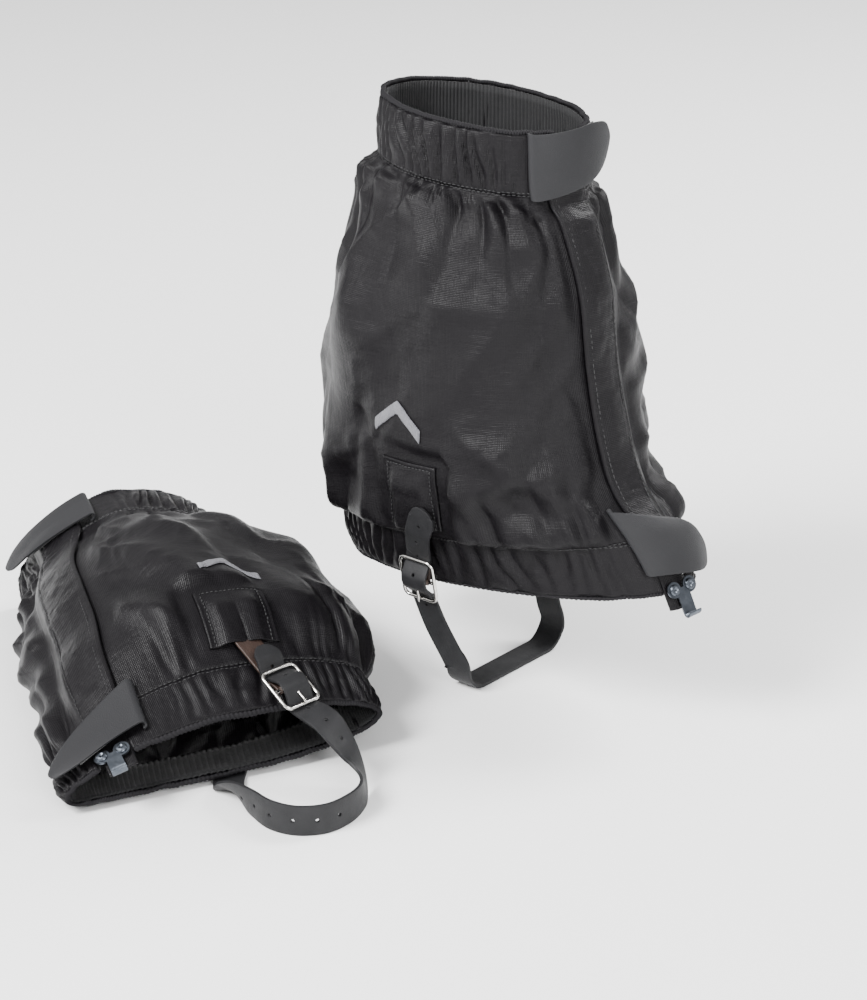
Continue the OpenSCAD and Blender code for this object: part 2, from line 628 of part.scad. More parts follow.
body("worn");  // worn_body
top_cuff("worn");  // worn_top_cuff
bottom_cuff("worn");  // worn_bottom_cuff
top_elastic("worn");  // worn_top_elastic
bottom_elastic("worn");  // worn_bottom_elastic
binding("worn", 1);  // worn_top_binding
binding("worn", -1);  // worn_bottom_binding
under_flap("worn");  // worn_under_flap
loop_tape("worn");  // worn_loop_tape
flap("worn");  // worn_flap
hook_tape("worn");  // worn_hook_tape
tab("worn", top_tab_levels);  // worn_top_tab
tab("worn", worn_bottom_levels);  // worn_bottom_tab
tab_hook("worn", top_tab_levels);  // worn_top_tab_hook
tab_hook("worn", worn_bottom_levels);  // worn_bottom_tab_hook
lace_hook("worn");  // worn_lace_hook
rivets("worn");  // worn_rivets
rivet_caps("worn");  // worn_rivet_caps
patch("worn");  // worn_patch
chape("worn");  // worn_chape
buckle("worn");  // worn_buckle
prong("worn");  // worn_prong
strap("worn");  // worn_strap
anchor("worn");  // worn_anchor
emblem("worn");  // worn_emblem
body("laid");  // laid_body
top_cuff("laid");  // laid_top_cuff
bottom_cuff("laid");  // laid_bottom_cuff
top_elastic("laid");  // laid_top_elastic
bottom_elastic("laid");  // laid_bottom_elastic
binding("laid", 1);  // laid_top_binding
binding("laid", -1);  // laid_bottom_binding
under_flap("laid");  // laid_under_flap
loop_tape("laid");  // laid_loop_tape
flap("laid");  // laid_flap
hook_tape("laid");  // laid_hook_tape
tab("laid", top_tab_levels);  // laid_top_tab
tab("laid", laid_bottom_levels);  // laid_bottom_tab
tab_hook("laid", top_tab_levels);  // laid_top_tab_hook
tab_hook("laid", laid_bottom_levels);  // laid_bottom_tab_hook
lace_hook("laid");  // laid_lace_hook
rivets("laid");  // laid_rivets
rivet_caps("laid");  // laid_rivet_caps
patch("laid");  // laid_patch
chape("laid");  // laid_chape
buckle("laid");  // laid_buckle
prong("laid");  // laid_prong
strap("laid");  // laid_strap
anchor("laid");  // laid_anchor
emblem("laid");  // laid_emblem
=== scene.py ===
import bmesh
import bpy
import numpy as np
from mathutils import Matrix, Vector


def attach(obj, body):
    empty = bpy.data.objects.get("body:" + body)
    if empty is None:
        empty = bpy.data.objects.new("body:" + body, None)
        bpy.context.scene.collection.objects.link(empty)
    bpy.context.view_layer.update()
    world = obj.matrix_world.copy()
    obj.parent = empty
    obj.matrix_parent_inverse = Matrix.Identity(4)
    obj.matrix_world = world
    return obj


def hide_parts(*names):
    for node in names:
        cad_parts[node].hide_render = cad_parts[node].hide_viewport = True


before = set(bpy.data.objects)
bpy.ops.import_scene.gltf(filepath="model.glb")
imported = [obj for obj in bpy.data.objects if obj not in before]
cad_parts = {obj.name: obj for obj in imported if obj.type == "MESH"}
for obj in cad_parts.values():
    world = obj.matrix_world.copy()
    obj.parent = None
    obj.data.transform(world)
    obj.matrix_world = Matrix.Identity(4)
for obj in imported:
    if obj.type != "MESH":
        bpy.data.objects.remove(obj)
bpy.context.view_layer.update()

# The pair stands on a pale studio floor in soft light: a big softbox high in front,
# a weaker one on the right and a third behind, which draws the sheen along the folds.
eye, aim = Vector((0.8211, -1.0413, 0.6348)), Vector((-0.0526, 0.0, 0.0857))
camera = bpy.data.objects.new("camera", bpy.data.cameras.new("camera"))
camera.data.lens, camera.data.sensor_width = 95, 36
camera.location = eye
camera.rotation_euler = (aim - eye).to_track_quat("-Z", "Y").to_euler()
bpy.context.collection.objects.link(camera)
bpy.context.scene.camera = camera
for name, place_at, look_at, size, power in (
        ("softbox", (-0.55, -1.7, 1.75), (-0.05, -0.05, 0.12), 1.0, 135),
        ("fill", (1.7, -0.9, 1.1), (0.0, 0.0, 0.15), 0.9, 36),
        ("strip", (0.5, 1.5, 1.7), (-0.03, 0.0, 0.2), 1.0, 80)):
    lamp = bpy.data.objects.new(name, bpy.data.lights.new(name, "AREA"))
    lamp.data.size, lamp.data.energy = size, power
    lamp.location = place_at
    lamp.rotation_euler = (Vector(look_at) - Vector(place_at)).to_track_quat("-Z", "Y").to_euler()
    bpy.context.collection.objects.link(lamp)
world = bpy.data.worlds.new("studio")
world.use_nodes = True
world.node_tree.nodes["Background"].inputs["Color"].default_value = (1.0, 1.0, 1.0, 1)
world.node_tree.nodes["Background"].inputs["Strength"].default_value = 0.8
bpy.context.scene.world = world


class Link:
    """A socket in a material's node tree. + - * / on links and numbers add Math nodes; node() any other."""

    def __init__(self, tree, socket=None):
        self.tree, self.socket = tree, socket

    def node(self, kind, settings=None, sockets=None, out=0):
        """A node of one kind: its settings, then the values or links of its sockets; out names its result."""
        made = self.tree.nodes.new("ShaderNode" + kind)
        for name, value in (settings or {}).items():
            if name == "stops":
                ramp = made.color_ramp
                while len(ramp.elements) < len(value):
                    ramp.elements.new(0.5)
                for stop, (at, shade) in zip(ramp.elements, value):
                    stop.position = at
                    stop.color = (*([shade] * 3 if isinstance(shade, (int, float)) else shade), 1)
            else:
                setattr(made, name, value)
        for name, value in (sockets or {}).items():
            if isinstance(value, Link):
                self.tree.links.new(value.socket, made.inputs[name])
            else:
                made.inputs[name].default_value = value
        return Link(self.tree, made.outputs[out])

    def sum(self, operation, a, b):
        return self.node("Math", {"operation": operation}, {0: a, 1: b})

    def __add__(self, other):
        return self.sum("ADD", self, other)

    def __sub__(self, other):
        return self.sum("SUBTRACT", self, other)

    def __mul__(self, other):
        return self.sum("MULTIPLY", self, other)

    def __rsub__(self, other):
        return self.sum("SUBTRACT", other, self)

    __radd__, __rmul__ = __add__, __mul__

    def blend(self, dark, light):
        """A colour between dark and light, by this mask."""
        return self.node("Mix", {"data_type": "RGBA"}, {0: self, 6: (*dark, 1), 7: (*light, 1)}, 2)

    def noise(self, scale, detail=3.0, rough=0.5, stretch=(1, 1, 1)):
        """Cloudy noise over the coordinates in this link, stretched, as a number about 0.5."""
        at = self.node("Mapping", {}, {"Vector": self, "Scale": stretch})
        return self.node("TexNoise", {}, {"Vector": at, "Scale": scale, "Detail": detail, "Roughness": rough})

    def wave(self, pitch, axis, bend=0.0):
        """Parallel ridges of that pitch, in metres, across one axis of this link's coordinates, 0 to 1."""
        return self.node("TexWave", {"wave_type": "BANDS", "bands_direction": axis, "wave_profile": "SIN"},
                         {"Vector": self, "Scale": 2 * np.pi / 20 / pitch, "Distortion": bend, "Detail": 1.0})


def finish(name, bump=None, depth=0.001, varying=None, **fixed):
    """A material: fixed values sit on the shader's sockets, varying ones are links, bump is a height 0 to 1."""
    shader = material.node_tree.nodes["Principled BSDF"]
    for socket, value in fixed.items():
        shader.inputs[socket.replace("_", " ")].default_value = value
    for socket, link in (varying or {}).items():
        material.node_tree.links.new(link.socket, shader.inputs[socket])
    if bump is not None:
        bumped = bump.node("Bump", {}, {"Height": bump, "Distance": depth, "Strength": 1.0})
        material.node_tree.links.new(bumped.socket, shader.inputs["Normal"])
    return material


def start(name, layer="UV"):
    """Begins a material and gives the coordinates it reads: UV in metres along a cloth, or Object."""
    global material
    material = bpy.data.materials.new(name)
    material.use_nodes = True
    tree = Link(material.node_tree)
    return tree.node("TexCoord", {}, {}, layer)


floor = bpy.data.objects.new("floor", bpy.data.meshes.new("floor"))
floor.data.from_pydata([(-6, -6, 0), (6, -6, 0), (6, 6, 0), (-6, 6, 0)], [], [(0, 1, 2, 3)])
ground = start("pale floor", "Object")
floor.data.materials.append(finish("pale floor", varying={
    "Base Color": ground.noise(3.0).blend((0.90, 0.90, 0.90), (0.92, 0.92, 0.92))}, Roughness=0.9))
bpy.context.collection.objects.link(floor)

# The sleeve is one tube of nylon, cut as a trapezium and gathered onto elastic at both ends.
# Nine rings give its form, hem to rim: middle x, half length, half width, middle height, rise to the front.
RINGS = {"worn": np.array([[7, 111, 48, 68, 28], [-1.67, 106.4, 52.4, 94, 28],
        [-12.46, 99.5, 59, 122.1, 16.3],
                           [-17.88, 93.25, 62.5, 155.9, 7.69], [-19.65, 87, 66, 193.6, 2.58],
                           [-19.72, 82.05, 61.2, 231.4, -0.08], [-19.26, 70.5, 50, 266.8, -3.42],
                           [-19, 62.5, 42, 282.5, -7], [-19, 60.5, 40, 313.5, -7]]) / 1000,
         "laid": np.array([[1, 85, 17, -6, -16], [0.33, 85.4, 23.8, 20, -16], [-3.43, 86, 34, 53.2, -9.3],
                           [-6.19, 83.25, 36, 89.15, -4.4], [-6.91, 80.5, 38, 125.9, -1.5],
                           [-5.44, 76.15, 35.9, 160.9, -0.3], [-2.58, 66, 31, 193.6, 0],
                           [-1, 58.8, 31, 209, 0], [-1, 57, 31, 240, 0]]) / 1000}
SEAM = {"worn": -0.004, "laid": 0.020}
LOW, HIGH, RIM = 1, 7, 8
FLAP_W, FLAP_T, FLAP_O, CLOTH_T = 0.024, 0.0012, 0.0026, 0.0012


def ring(g, s):
    """Ring at level s: a smooth curve through the nine rings, carried on straight past both ends."""
    rings, s = RINGS[g], np.asarray(s, float)
    padded = np.vstack([2 * rings[0] - rings[1], rings, 2 * rings[8] - rings[7]])
    i = np.clip(np.floor(s).astype(int), 0, 7)
    f = (s - i)[..., None]
    a, b, c, d = (padded[i + k] for k in range(4))
    curve = (2 * b + (c - a) * f + (2 * a - 5 * b + 4 * c - d) * f ** 2
            + (3 * b - a - 3 * c + d) * f ** 3) / 2
    return np.where((f < 0) | (f + i[..., None] > 8), b + (c - b) * f, curve)


def skin(g, u, s, o=0.0):
    """Point of the sleeve: an ellipse at angle u from the front and level s, height o off the cloth, tipped forward.
    The laid one's front edge droops by the cosine's power 1.5, and its underside is flat on the floor."""
    r = ring(g, s)
    y = (r[..., 2] + o) * np.sin(u)
    if g == "laid":
        y = 0.0036 + np.maximum(y + r[..., 2] * (1 - 0.65 * np.clip(np.cos(u), 0, 1) ** 1.5), -o)
    return np.stack([r[..., 0] + (r[..., 1] + o) * np.cos(u), y + 0 * u,
            r[..., 3] + r[..., 4] / 2 * np.cos(u)], -1)


def front_u(g, m, s):
    """Angle whose chord from the front line is m: the cosine c solves a*a*(1-c)^2 + b*b*(1-c*c) = m*m."""
    r = ring(g, s)
    a, b = r[..., 1] ** 2, r[..., 2] ** 2
    c = (a - np.sqrt(a * a - (a - b) * (a + b - np.asarray(m) ** 2))) / (a - b)
    return np.sign(m) * np.arccos(np.clip(c, -1, 1))


def front(g, m, s, o=0.0):
    """Point on the front closure, m outwards from the flap's seam."""
    return skin(g, front_u(g, SEAM[g] + m, s), s, o)


def level(g, z):
    """Level of the ring whose middle is at height z, read back from a fine table."""
    table = np.linspace(0, 8, 801)
    return np.interp(z, ring(g, table)[:, 3], table)


def soft(x, low, high):
    """Smooth step from 0 at low to 1 at high."""
    t = np.clip((x - low) / (high - low), 0, 1)
    return t * t * (3 - 2 * t)


def hills(x, y, seed):
    """Smooth hills, -1 to 1: seeded random heights on a unit lattice, joined by smooth steps both ways."""
    heights = np.random.default_rng(seed).uniform(-1, 1, (128, 128))
    x, y = np.broadcast_arrays(np.asarray(x, float) + 40, np.asarray(y, float) + 40)
    i, j = np.floor(x).astype(int), np.floor(y).astype(int)
    fx, fy = soft(x - i, 0, 1), soft(y - j, 0, 1)
    h = lambda p, q: heights[(i + p) % 128, (j + q) % 128]
    return (h(0, 0) * (1 - fx) + h(1, 0) * fx) * (1 - fy) + (h(0, 1) * (1 - fx) + h(1, 1) * fx) * fy


def pleats(across, down, count, seed):
    """Irregular upright pleats, 0 to 1: rounded crests between sharp valleys, drifting as they run down."""
    x = across * count + 0.9 * hills(across * count / 3, down * 2, seed) + 0.4 * hills(across * count,
            down, seed + 1)
    swell = 0.75 + 0.45 * hills(across * count / 1.7, down * 1.3, seed + 2)
    return np.abs(np.sin(np.pi * x)) ** 0.8 * swell


def facing(points):
    """Outward unit normals of a grid: the cross product of its two slopes."""
    n = np.cross(np.gradient(points, axis=0), np.gradient(points, axis=1))
    return n / np.maximum(np.linalg.norm(n, axis=-1, keepdims=True), 1e-12)


# Soft creases that hang in the cloth: across 0 to 1 from the flap round the outer side to the seam,
# up 0 to 1 between the gather lines, at both ends; then half width and height in metres.
CREASES = {"worn": [(0.03, 0.10, 0.16, 0.34, 0.011, 0.0040), (0.04, 0.28, 0.17, 0.18, 0.010, 0.0038),
                    (0.03, 0.42, 0.13, 0.30, 0.009, 0.0030), (0.10, 0.05, 0.21, 0.22, 0.012, 0.0035),
                    (0.26, 0.10, 0.30, 0.34, 0.009, -0.0030), (0.18, 0.62, 0.26, 0.95, 0.012, 0.0028),
                    (0.10, 0.60, 0.12, 0.95, 0.008, 0.0022), (0.30, 0.55, 0.36, 0.92, 0.012, 0.0030),
                    (0.36, 0.10, 0.42, 0.50, 0.014, 0.0035), (0.97, 0.10, 0.88, 0.16, 0.008, 0.0034),
                    (0.98, 0.26, 0.89, 0.30, 0.009, 0.0036), (0.98, 0.40, 0.90, 0.44, 0.008, 0.0032),
                    (0.98, 0.54, 0.91, 0.60, 0.009, 0.0028), (0.97, 0.70, 0.92, 0.80, 0.010, 0.0022),
                    (0.55, 0.30, 0.62, 0.85, 0.014, 0.0035), (0.75, 0.15, 0.70, 0.60, 0.014, 0.0035)],
           "laid": [(0.05, 0.95, 0.16, 0.42, 0.014, 0.0050), (0.12, 0.90, 0.24, 0.60, 0.013, 0.0045),
                    (0.06, 0.60, 0.14, 0.20, 0.012, 0.0040), (0.17, 0.48, 0.22, 0.12, 0.011, -0.0040),
                    (0.22, 0.80, 0.34, 0.62, 0.014, 0.0045), (0.30, 0.30, 0.33, 0.05, 0.009, 0.0034),
                    (0.36, 0.36, 0.40, 0.05, 0.010, 0.0040), (0.42, 0.42, 0.46, 0.08, 0.010, 0.0036),
                    (0.04, 0.30, 0.12, 0.06, 0.010, 0.0036), (0.40, 0.80, 0.46, 0.45, 0.014, 0.0040),
                    (0.97, 0.80, 0.90, 0.78, 0.010, 0.0045), (0.98, 0.62, 0.91, 0.58, 0.010, 0.0045),
                    (0.98, 0.46, 0.90, 0.44, 0.010, 0.0045), (0.98, 0.28, 0.90, 0.30, 0.010, 0.0045),
                    (0.97, 0.12, 0.90, 0.16, 0.010, 0.0040)]}
ROWS = {"cuff": 18, "body": 84}
COLUMNS = 300
levels = np.concatenate([np.linspace(0, LOW, ROWS["cuff"], endpoint=False),
                         np.linspace(LOW, HIGH, ROWS["body"], endpoint=False),
                         np.linspace(HIGH, RIM, ROWS["cuff"] + 1)])
bottom, middle, top = (slice(0, ROWS["cuff"] + 1), slice(ROWS["cuff"], ROWS["cuff"] + ROWS["body"] + 1),
                       slice(ROWS["cuff"] + ROWS["body"], None))
PATCH = {"worn": (-0.018, 0.106), "laid": (-0.020, 0.032)}
PATCH_W, PATCH_H = 0.038, 0.033


def sleeve(g):
    """The cloth's outer face, hem to rim. Its height off the plain form is puckers in the cuffs, pleats that fade
    from the gather lines, creases along straight lines, and broad hills; it lies still under flap and patch."""
    across = np.linspace(0, 1, COLUMNS)[:, None] + 0 * levels[None, :]
    s = levels[None, :] + 0 * across
    begin, end = front_u(g, SEAM[g] + 0.75 * FLAP_W, s), 2 * np.pi + front_u(g, SEAM[g], s)
    u = begin + (end - begin) * across
    plain = skin(g, u, s)
    around = np.linalg.norm(np.diff(plain, axis=0), axis=-1).sum(0)[None, :]
    up = (s - LOW) / (HIGH - LOW)
    tall = 0.190 if g == "worn" else 0.185
    low_d, high_d = up * tall, (1 - up) * tall
    inside = (s >= LOW) & (s <= HIGH)
    lean = across + 0.012 * hills(across * 9, up * 4, 5)
    fade = lambda d, near, far: soft(d, 0, near) * np.exp(-(np.maximum(d, 0) / far) ** 2)
    rise = 0.0
    for d, seed in ((low_d, 11), (high_d, 31)):
        rise = rise + inside * (0.0040 * fade(d, 0.005, 0.020) * (pleats(lean, up, 44, seed) - 0.5)
                                + 0.0070 * fade(d, 0.014, 0.042) * (pleats(lean, up, 20, seed + 3) - 0.5)
                                + 0.0070 * fade(d, 0.03, 0.085) * (pleats(lean, up, 9, seed + 6) - 0.5))
    rise = rise + inside * soft(np.minimum(low_d, high_d), 0, 0.03) * (
        0.0046 * hills(lean * 9, up * 4, 51) + 0.0034 * (0.5 - np.abs(hills(lean * 17 + up * 6, up * 7,
            52)) ** 0.7)
        + 0.0009 * (0.5 - np.abs(hills(lean * 40 - up * 8, up * 15 + lean * 12, 53)) ** 0.7))
    for a0, t0, a1, t1, half, height in CREASES[g]:
        x, y = across * 0.47, up * tall
        p, q = np.array([a0 * 0.47, t0 * tall]), np.array([a1 * 0.47, t1 * tall])
        d = q - p
        along = ((x - p[0]) * d[0] + (y - p[1]) * d[1]) / (d @ d)
        wobble = 0.003 * hills(along * 3, a0 * 90, 61)
        off = ((x - p[0]) * d[1] - (y - p[1]) * d[0]) / np.linalg.norm(d) + wobble
        rise = rise + inside * height * 1.25 * np.exp(-np.abs(off / half) ** 1.35) * soft(along, -0.25,
                0.2) * soft(-along, -1.25, -0.8)
    for v, low_side in ((s, True), (RIM - s, False)):
        cuff = (v < 1)
        belly = np.sin(np.pi * np.clip(v, 0, 1)) ** 0.6
        tilt = across + (v - 0.5) * 0.006 * hills(across * 30, 0 * v, 71)
        rise = rise + cuff * (belly * (0.0046 * pleats(tilt, v * 0.6, 60 if low_side else 46,
                73 + low_side) - 0.0014)
                              + 0.0006 * hills(across * 160, v * 5, 77))
    pinch = np.exp(-(np.minimum(np.abs(s - LOW) * 0.026, np.abs(s - HIGH) * 0.031) / 0.0016) ** 2)
    rise = rise - 0.0008 * pinch * (0.6 + 0.5 * hills(across * 170, 0 * s, 79))
    if g == "worn":
        rise = rise + inside * 0.0055 * np.exp(-((low_d - 0.011) / 0.009) ** 2)
    tabs = soft(np.abs(s - 4.3), 1.7, 2.4)
    covered = soft(across * around, 0.010 + 0.008 * tabs, 0.018 + 0.012 * tabs)
    seam_side = soft((1 - across) * around, 0.001, 0.007)
    x, z = PATCH[g]
    on_patch = soft(np.abs(plain[..., 0] - x), PATCH_W / 2 + 0.002, PATCH_W / 2 + 0.014) + soft(
        np.abs(plain[..., 2] - (z + PATCH_H / 2 - 0.003)), PATCH_H / 2 + 0.003, PATCH_H / 2 + 0.012)
    on_patch = np.where(plain[..., 1] > (0 if g == "worn" else 0.03), np.clip(on_patch, 0.3, 1), 1)
    rise = rise * (0.1 + 0.9 * covered) * seam_side * on_patch
    if g == "laid":
        rise = np.where(np.sin(u) < 0, np.maximum(rise, -0.002), rise)
        rise = np.minimum(rise, 0.0015 + 0.007 * soft(high_d, 0.0, 0.09) + 0.004 * (s > HIGH))
    points = plain + facing(plain) * rise[..., None]
    if g == "worn":
        points[..., 2] -= inside * 0.0040 * np.exp(-((low_d - 0.009) / 0.008) ** 2) * covered * seam_side
    else:
        points[..., 1] = np.maximum(points[..., 1], 0.0026)
    return u, s, points


def place(g, p):
    """From the sleeve's frame (toe, outer side, up the leg) to the pair's: one is mirrored, one tipped over."""
    x, y, z = p[..., 0], p[..., 1], p[..., 2]
    if g == "worn":
        return np.stack([x, -y, z], -1)
    return np.stack([-0.0289 - 0.5 * x - 0.8660254 * z, -0.1927 - 0.8660254 * x + 0.5 * z, y], -1)


def mesh_piece(name, g, points, wrap=(False, False), uv=None, weld=False, gaps=None):
    """A mesh from one grid of points, or many alike, shape (..., rows, columns, 3), in the sleeve's frame.
    Square (i, j) joins to its next neighbours both ways, apart from gaps; wrap closes a direction. The worn
    one is a mirror image, so its faces are turned back."""
    rows, columns = points.shape[-3:-1]
    blocks = points.reshape(-1, rows * columns, 3)
    i, j = np.meshgrid(np.arange(rows - (not wrap[0])), np.arange(columns - (not wrap[1])), indexing="ij")
    corners = np.stack([np.stack([i + a, j + b], -1) for a, b in ((0, 0), (1, 0), (1, 1), (0, 1))], 2)
    quads = (corners[..., 0] % rows * columns + corners[..., 1] % columns).reshape(-1, 4)
    if gaps is not None:
        quads, corners = quads[~gaps.reshape(-1)], corners[~gaps]
    corners = corners.reshape(-1, 4, 2)
    if g == "worn":
        quads, corners = quads[:, ::-1], corners[:, ::-1]
    faces = (np.arange(len(blocks))[:, None, None] * rows * columns + quads[None]).reshape(-1, 4)
    mesh = bpy.data.meshes.new(name)
    mesh.from_pydata(place(g, blocks.reshape(-1, 3)), [], faces)
    if uv is not None:
        spread = uv[corners[..., 0].reshape(-1), corners[..., 1].reshape(-1)]
        mesh.uv_layers.new(name="cloth").data.foreach_set("uv",
                np.tile(spread.reshape(-1), len(blocks)).astype(np.float32))
    mesh.polygons.foreach_set("use_smooth", np.ones(len(faces), bool))
    if weld:
        made = bmesh.new()
        made.from_mesh(mesh)
        bmesh.ops.remove_doubles(made, verts=made.verts, dist=2e-6)
        bmesh.ops.dissolve_degenerate(made, edges=made.edges, dist=1e-7)
        made.to_mesh(mesh)
        made.free()
    mesh.update()
    piece = bpy.data.objects.new(name, mesh)
    bpy.context.collection.objects.link(piece)
    return piece


def flat_uv(points):
    """UV in metres: the way along both directions of the grid, from its own edge lengths."""
    a = np.linalg.norm(np.diff(points, axis=0), axis=-1).mean(1)
    b = np.linalg.norm(np.diff(points, axis=1), axis=-1).mean(0)
    return np.stack(np.meshgrid(np.r_[0, np.cumsum(a)], np.r_[0, np.cumsum(b)], indexing="ij"), -1)


def dress(piece, body, slot, look, *nodes, thick=0.0, smooth=0):
    """Gives a piece its material and its body, and hides the nodes it stands for; thick adds a wall inwards. The
    slot is not used.
    """
    piece.data.materials.append(look)
    if smooth:
        step = piece.modifiers.new("round", "SUBSURF")
        step.levels = step.render_levels = smooth
    if thick:
        wall = piece.modifiers.new("wall", "SOLIDIFY")
        wall.thickness, wall.offset = thick, -1
    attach(piece, body)
    if nodes:
        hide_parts(*nodes)
    return piece


at = start("nylon")
fine = at.wave(0.0009, "X", 0.6) * 0.5 + at.wave(0.0009, "Y", 0.6) * 0.5
streak = at.noise(900, 2, 0.5, (1, 0.04, 1)) * 0.5 + at.noise(900, 2, 0.5, (0.04, 1, 1)) * 0.5
cloud = at.noise(26, 3)
nylon = finish("nylon", bump=fine * 0.25 + streak * 0.5 + at.noise(170, 4, 0.6) * 0.9, depth=0.0005, varying={
    "Base Color": (streak * 0.6 + cloud * 0.4).blend((0.0030, 0.0026, 0.0032), (0.0070, 0.0062, 0.0074)),
    "Roughness": cloud * 0.14 + streak * 0.12 + 0.26},
    Specular_IOR_Level=0.15, Sheen_Roughness=0.35, Sheen_Tint=(0.75, 0.72, 0.80, 1))
cloth = {}
for g in ("worn", "laid"):
    u, s, points = sleeve(g)
    cloth[g] = dict(u=u, s=s, points=points, out=facing(points))
    for part, rows in (("bottom_cuff", bottom), ("body", middle), ("top_cuff", top)):
        sheet = points[:, rows]
        piece = mesh_piece(f"{g}_{part}_cloth", g, sheet, uv=flat_uv(sheet))
        dress(piece, f"{g}_sleeve", "nylon", nylon, f"{g}_{part}", thick=CLOTH_T)


def on_cloth(g, u, s, o=0.0):
    """Point on the gathered cloth at angle u and level s, height o: read between the four nearest grid points."""
    u, s = np.broadcast_arrays(np.asarray(u, float), np.asarray(s, float))
    begin, end = front_u(g, SEAM[g] + 0.75 * FLAP_W, s), 2 * np.pi + front_u(g, SEAM[g], s)
    x = np.clip((u - begin) / (end - begin), 0, 1) * (COLUMNS - 1)
    y = np.interp(s, levels, np.arange(len(levels)))
    i, j = np.minimum(x.astype(int), COLUMNS - 2), np.minimum(y.astype(int), len(levels) - 2)
    fx, fy = (x - i)[..., None], (y - j)[..., None]
    read = lambda k: ((cloth[g][k][i, j] * (1 - fx) + cloth[g][k][i + 1, j] * fx) * (1 - fy)
                      + (cloth[g][k][i, j + 1] * (1 - fx) + cloth[g][k][i + 1, j + 1] * fx) * fy)
    return read("points") + read("out") * np.asarray(o, float)[..., None]


def stitches(name, g, path, out, look, slot, body, pitch=0.0031, long=0.0024, thick=0.00038, sink=0.0001):
    """Running stitches: spindles laid end to end along a path, each a circle swept along its own length, radius as a
    half sine, every one a little out of line."""
    way = np.r_[0, np.cumsum(np.linalg.norm(np.diff(path, axis=0), axis=1))]
    count = max(2, int(way[-1] / pitch))
    mids = (np.arange(count) + 0.5) * way[-1] / count
    ends = [np.stack([np.interp(mids + k * long / 2, way, path[:, a]) for a in range(3)],
            -1) for k in (-1, 1)]
    normal = np.stack([np.interp(mids, way, out[:, a]) for a in range(3)], -1)
    along = ends[1] - ends[0]
    side = np.cross(along, normal)
    side /= np.linalg.norm(side, axis=-1, keepdims=True)
    t = np.linspace(0, 1, 5)[None, :, None, None]
    turn = np.linspace(0, 2 * np.pi, 6, endpoint=False)[None, None, :, None]
    radius = thick * np.sin(np.pi * (0.08 + 0.84 * t)) ** 0.6
    stray = np.random.default_rng(3).normal(0, 0.00012, (count, 1, 1, 1)) * side[:, None, None]
    spindle = (ends[0][:, None, None] + along[:, None, None] * t + stray
               + radius * (np.cos(turn) * side[:, None, None] + np.sin(turn) * normal[:, None, None])
               + (radius * 0.4 - sink) * normal[:, None, None])
    piece = mesh_piece(name, g, np.swapaxes(spindle, 1, 2)[:, :, ::-1], wrap=(True, False))
    dress(piece, body, slot, look)
    return piece


# Elastic webbing is sewn inside each cuff while stretched, and its upright ribs show at the rim and the hem.
at = start("ribbed elastic")
elastic = finish("ribbed elastic", bump=at.noise(1500, 3, 0.6), depth=0.0003, varying={
    "Base Color": at.noise(300, 3).blend((0.004, 0.004, 0.0045), (0.012, 0.012, 0.013)),
    "Roughness": at.noise(400) * 0.2 + 0.62}, Specular_IOR_Level=0.3, Sheen_Weight=0.1)
for g in ("worn", "laid"):
    for part, base in (("top_elastic", HIGH), ("bottom_elastic", 0)):
        across = np.linspace(0, 1, 901)[:, None]
        s = base + np.linspace(0.02, 0.985, 8)[None, :] + 0 * across
        u = front_u(g, SEAM[g] + 0.75 * FLAP_W, s) + across * (2 * np.pi + front_u(g, SEAM[g], s)
                                                             - front_u(g, SEAM[g] + 0.75 * FLAP_W, s))
        ribs = 0.0007 * np.abs(np.sin(np.pi * across * 150)) ** 0.7
        points = skin(g, u, s, -0.0022 - ribs + 0.0004 * hills(across * 60, s * 3, 91))
        piece = mesh_piece(f"{g}_{part}_band", g, points[::-1], uv=flat_uv(points))
        dress(piece, f"{g}_sleeve", "elastic", elastic, f"{g}_{part}", thick=0.0004)

# A cord is overlocked round both raw edges: thread wound close over a soft core, so it looks twisted.
at = start("overlocked cord")
corded = finish("overlocked cord", bump=at.noise(2200, 3), depth=0.0003, varying={
    "Base Color": at.noise(500, 3).blend((0.004, 0.0038, 0.0044), (0.012, 0.011, 0.013)),
    "Roughness": at.noise(600) * 0.2 + 0.6}, Specular_IOR_Level=0.16)
for g in ("worn", "laid"):
    for part, edge, way in (("top_binding", RIM, 1), ("bottom_binding", 0, -1)):
        across = np.linspace(0, 1, 1300)[:, None]
        turn = np.linspace(0, 2 * np.pi, 10, endpoint=False)[None, :]
        wound = 1 + 0.16 * np.sin(2 * np.pi * across * 210 + turn) + 0.10 * hills(across * 300,
                turn * 0.6, 93)
        wound = wound * np.sqrt(np.clip(np.minimum(across, 1 - across) * 260, 0, 1))
        s = edge + way * (0.028 + 0.038 * wound * np.sin(turn) * way) + 0.012 * hills(across * 55,
                0 * turn, 94)
        begin = front_u(g, SEAM[g] + 0.75 * FLAP_W, edge)
        u = begin + across * (2 * np.pi + front_u(g, SEAM[g], edge) - begin)
        wave = 0.0006 * hills(across * 60, 0 * turn, 95)
        points = skin(g, u + 0 * turn, s, -0.0009 + wave + 0.0014 * wound * np.cos(turn))
        piece = mesh_piece(f"{g}_{part}_cord", g, points, wrap=(False, True), weld=True)
        dress(piece, f"{g}_sleeve", "binding", corded, f"{g}_{part}")

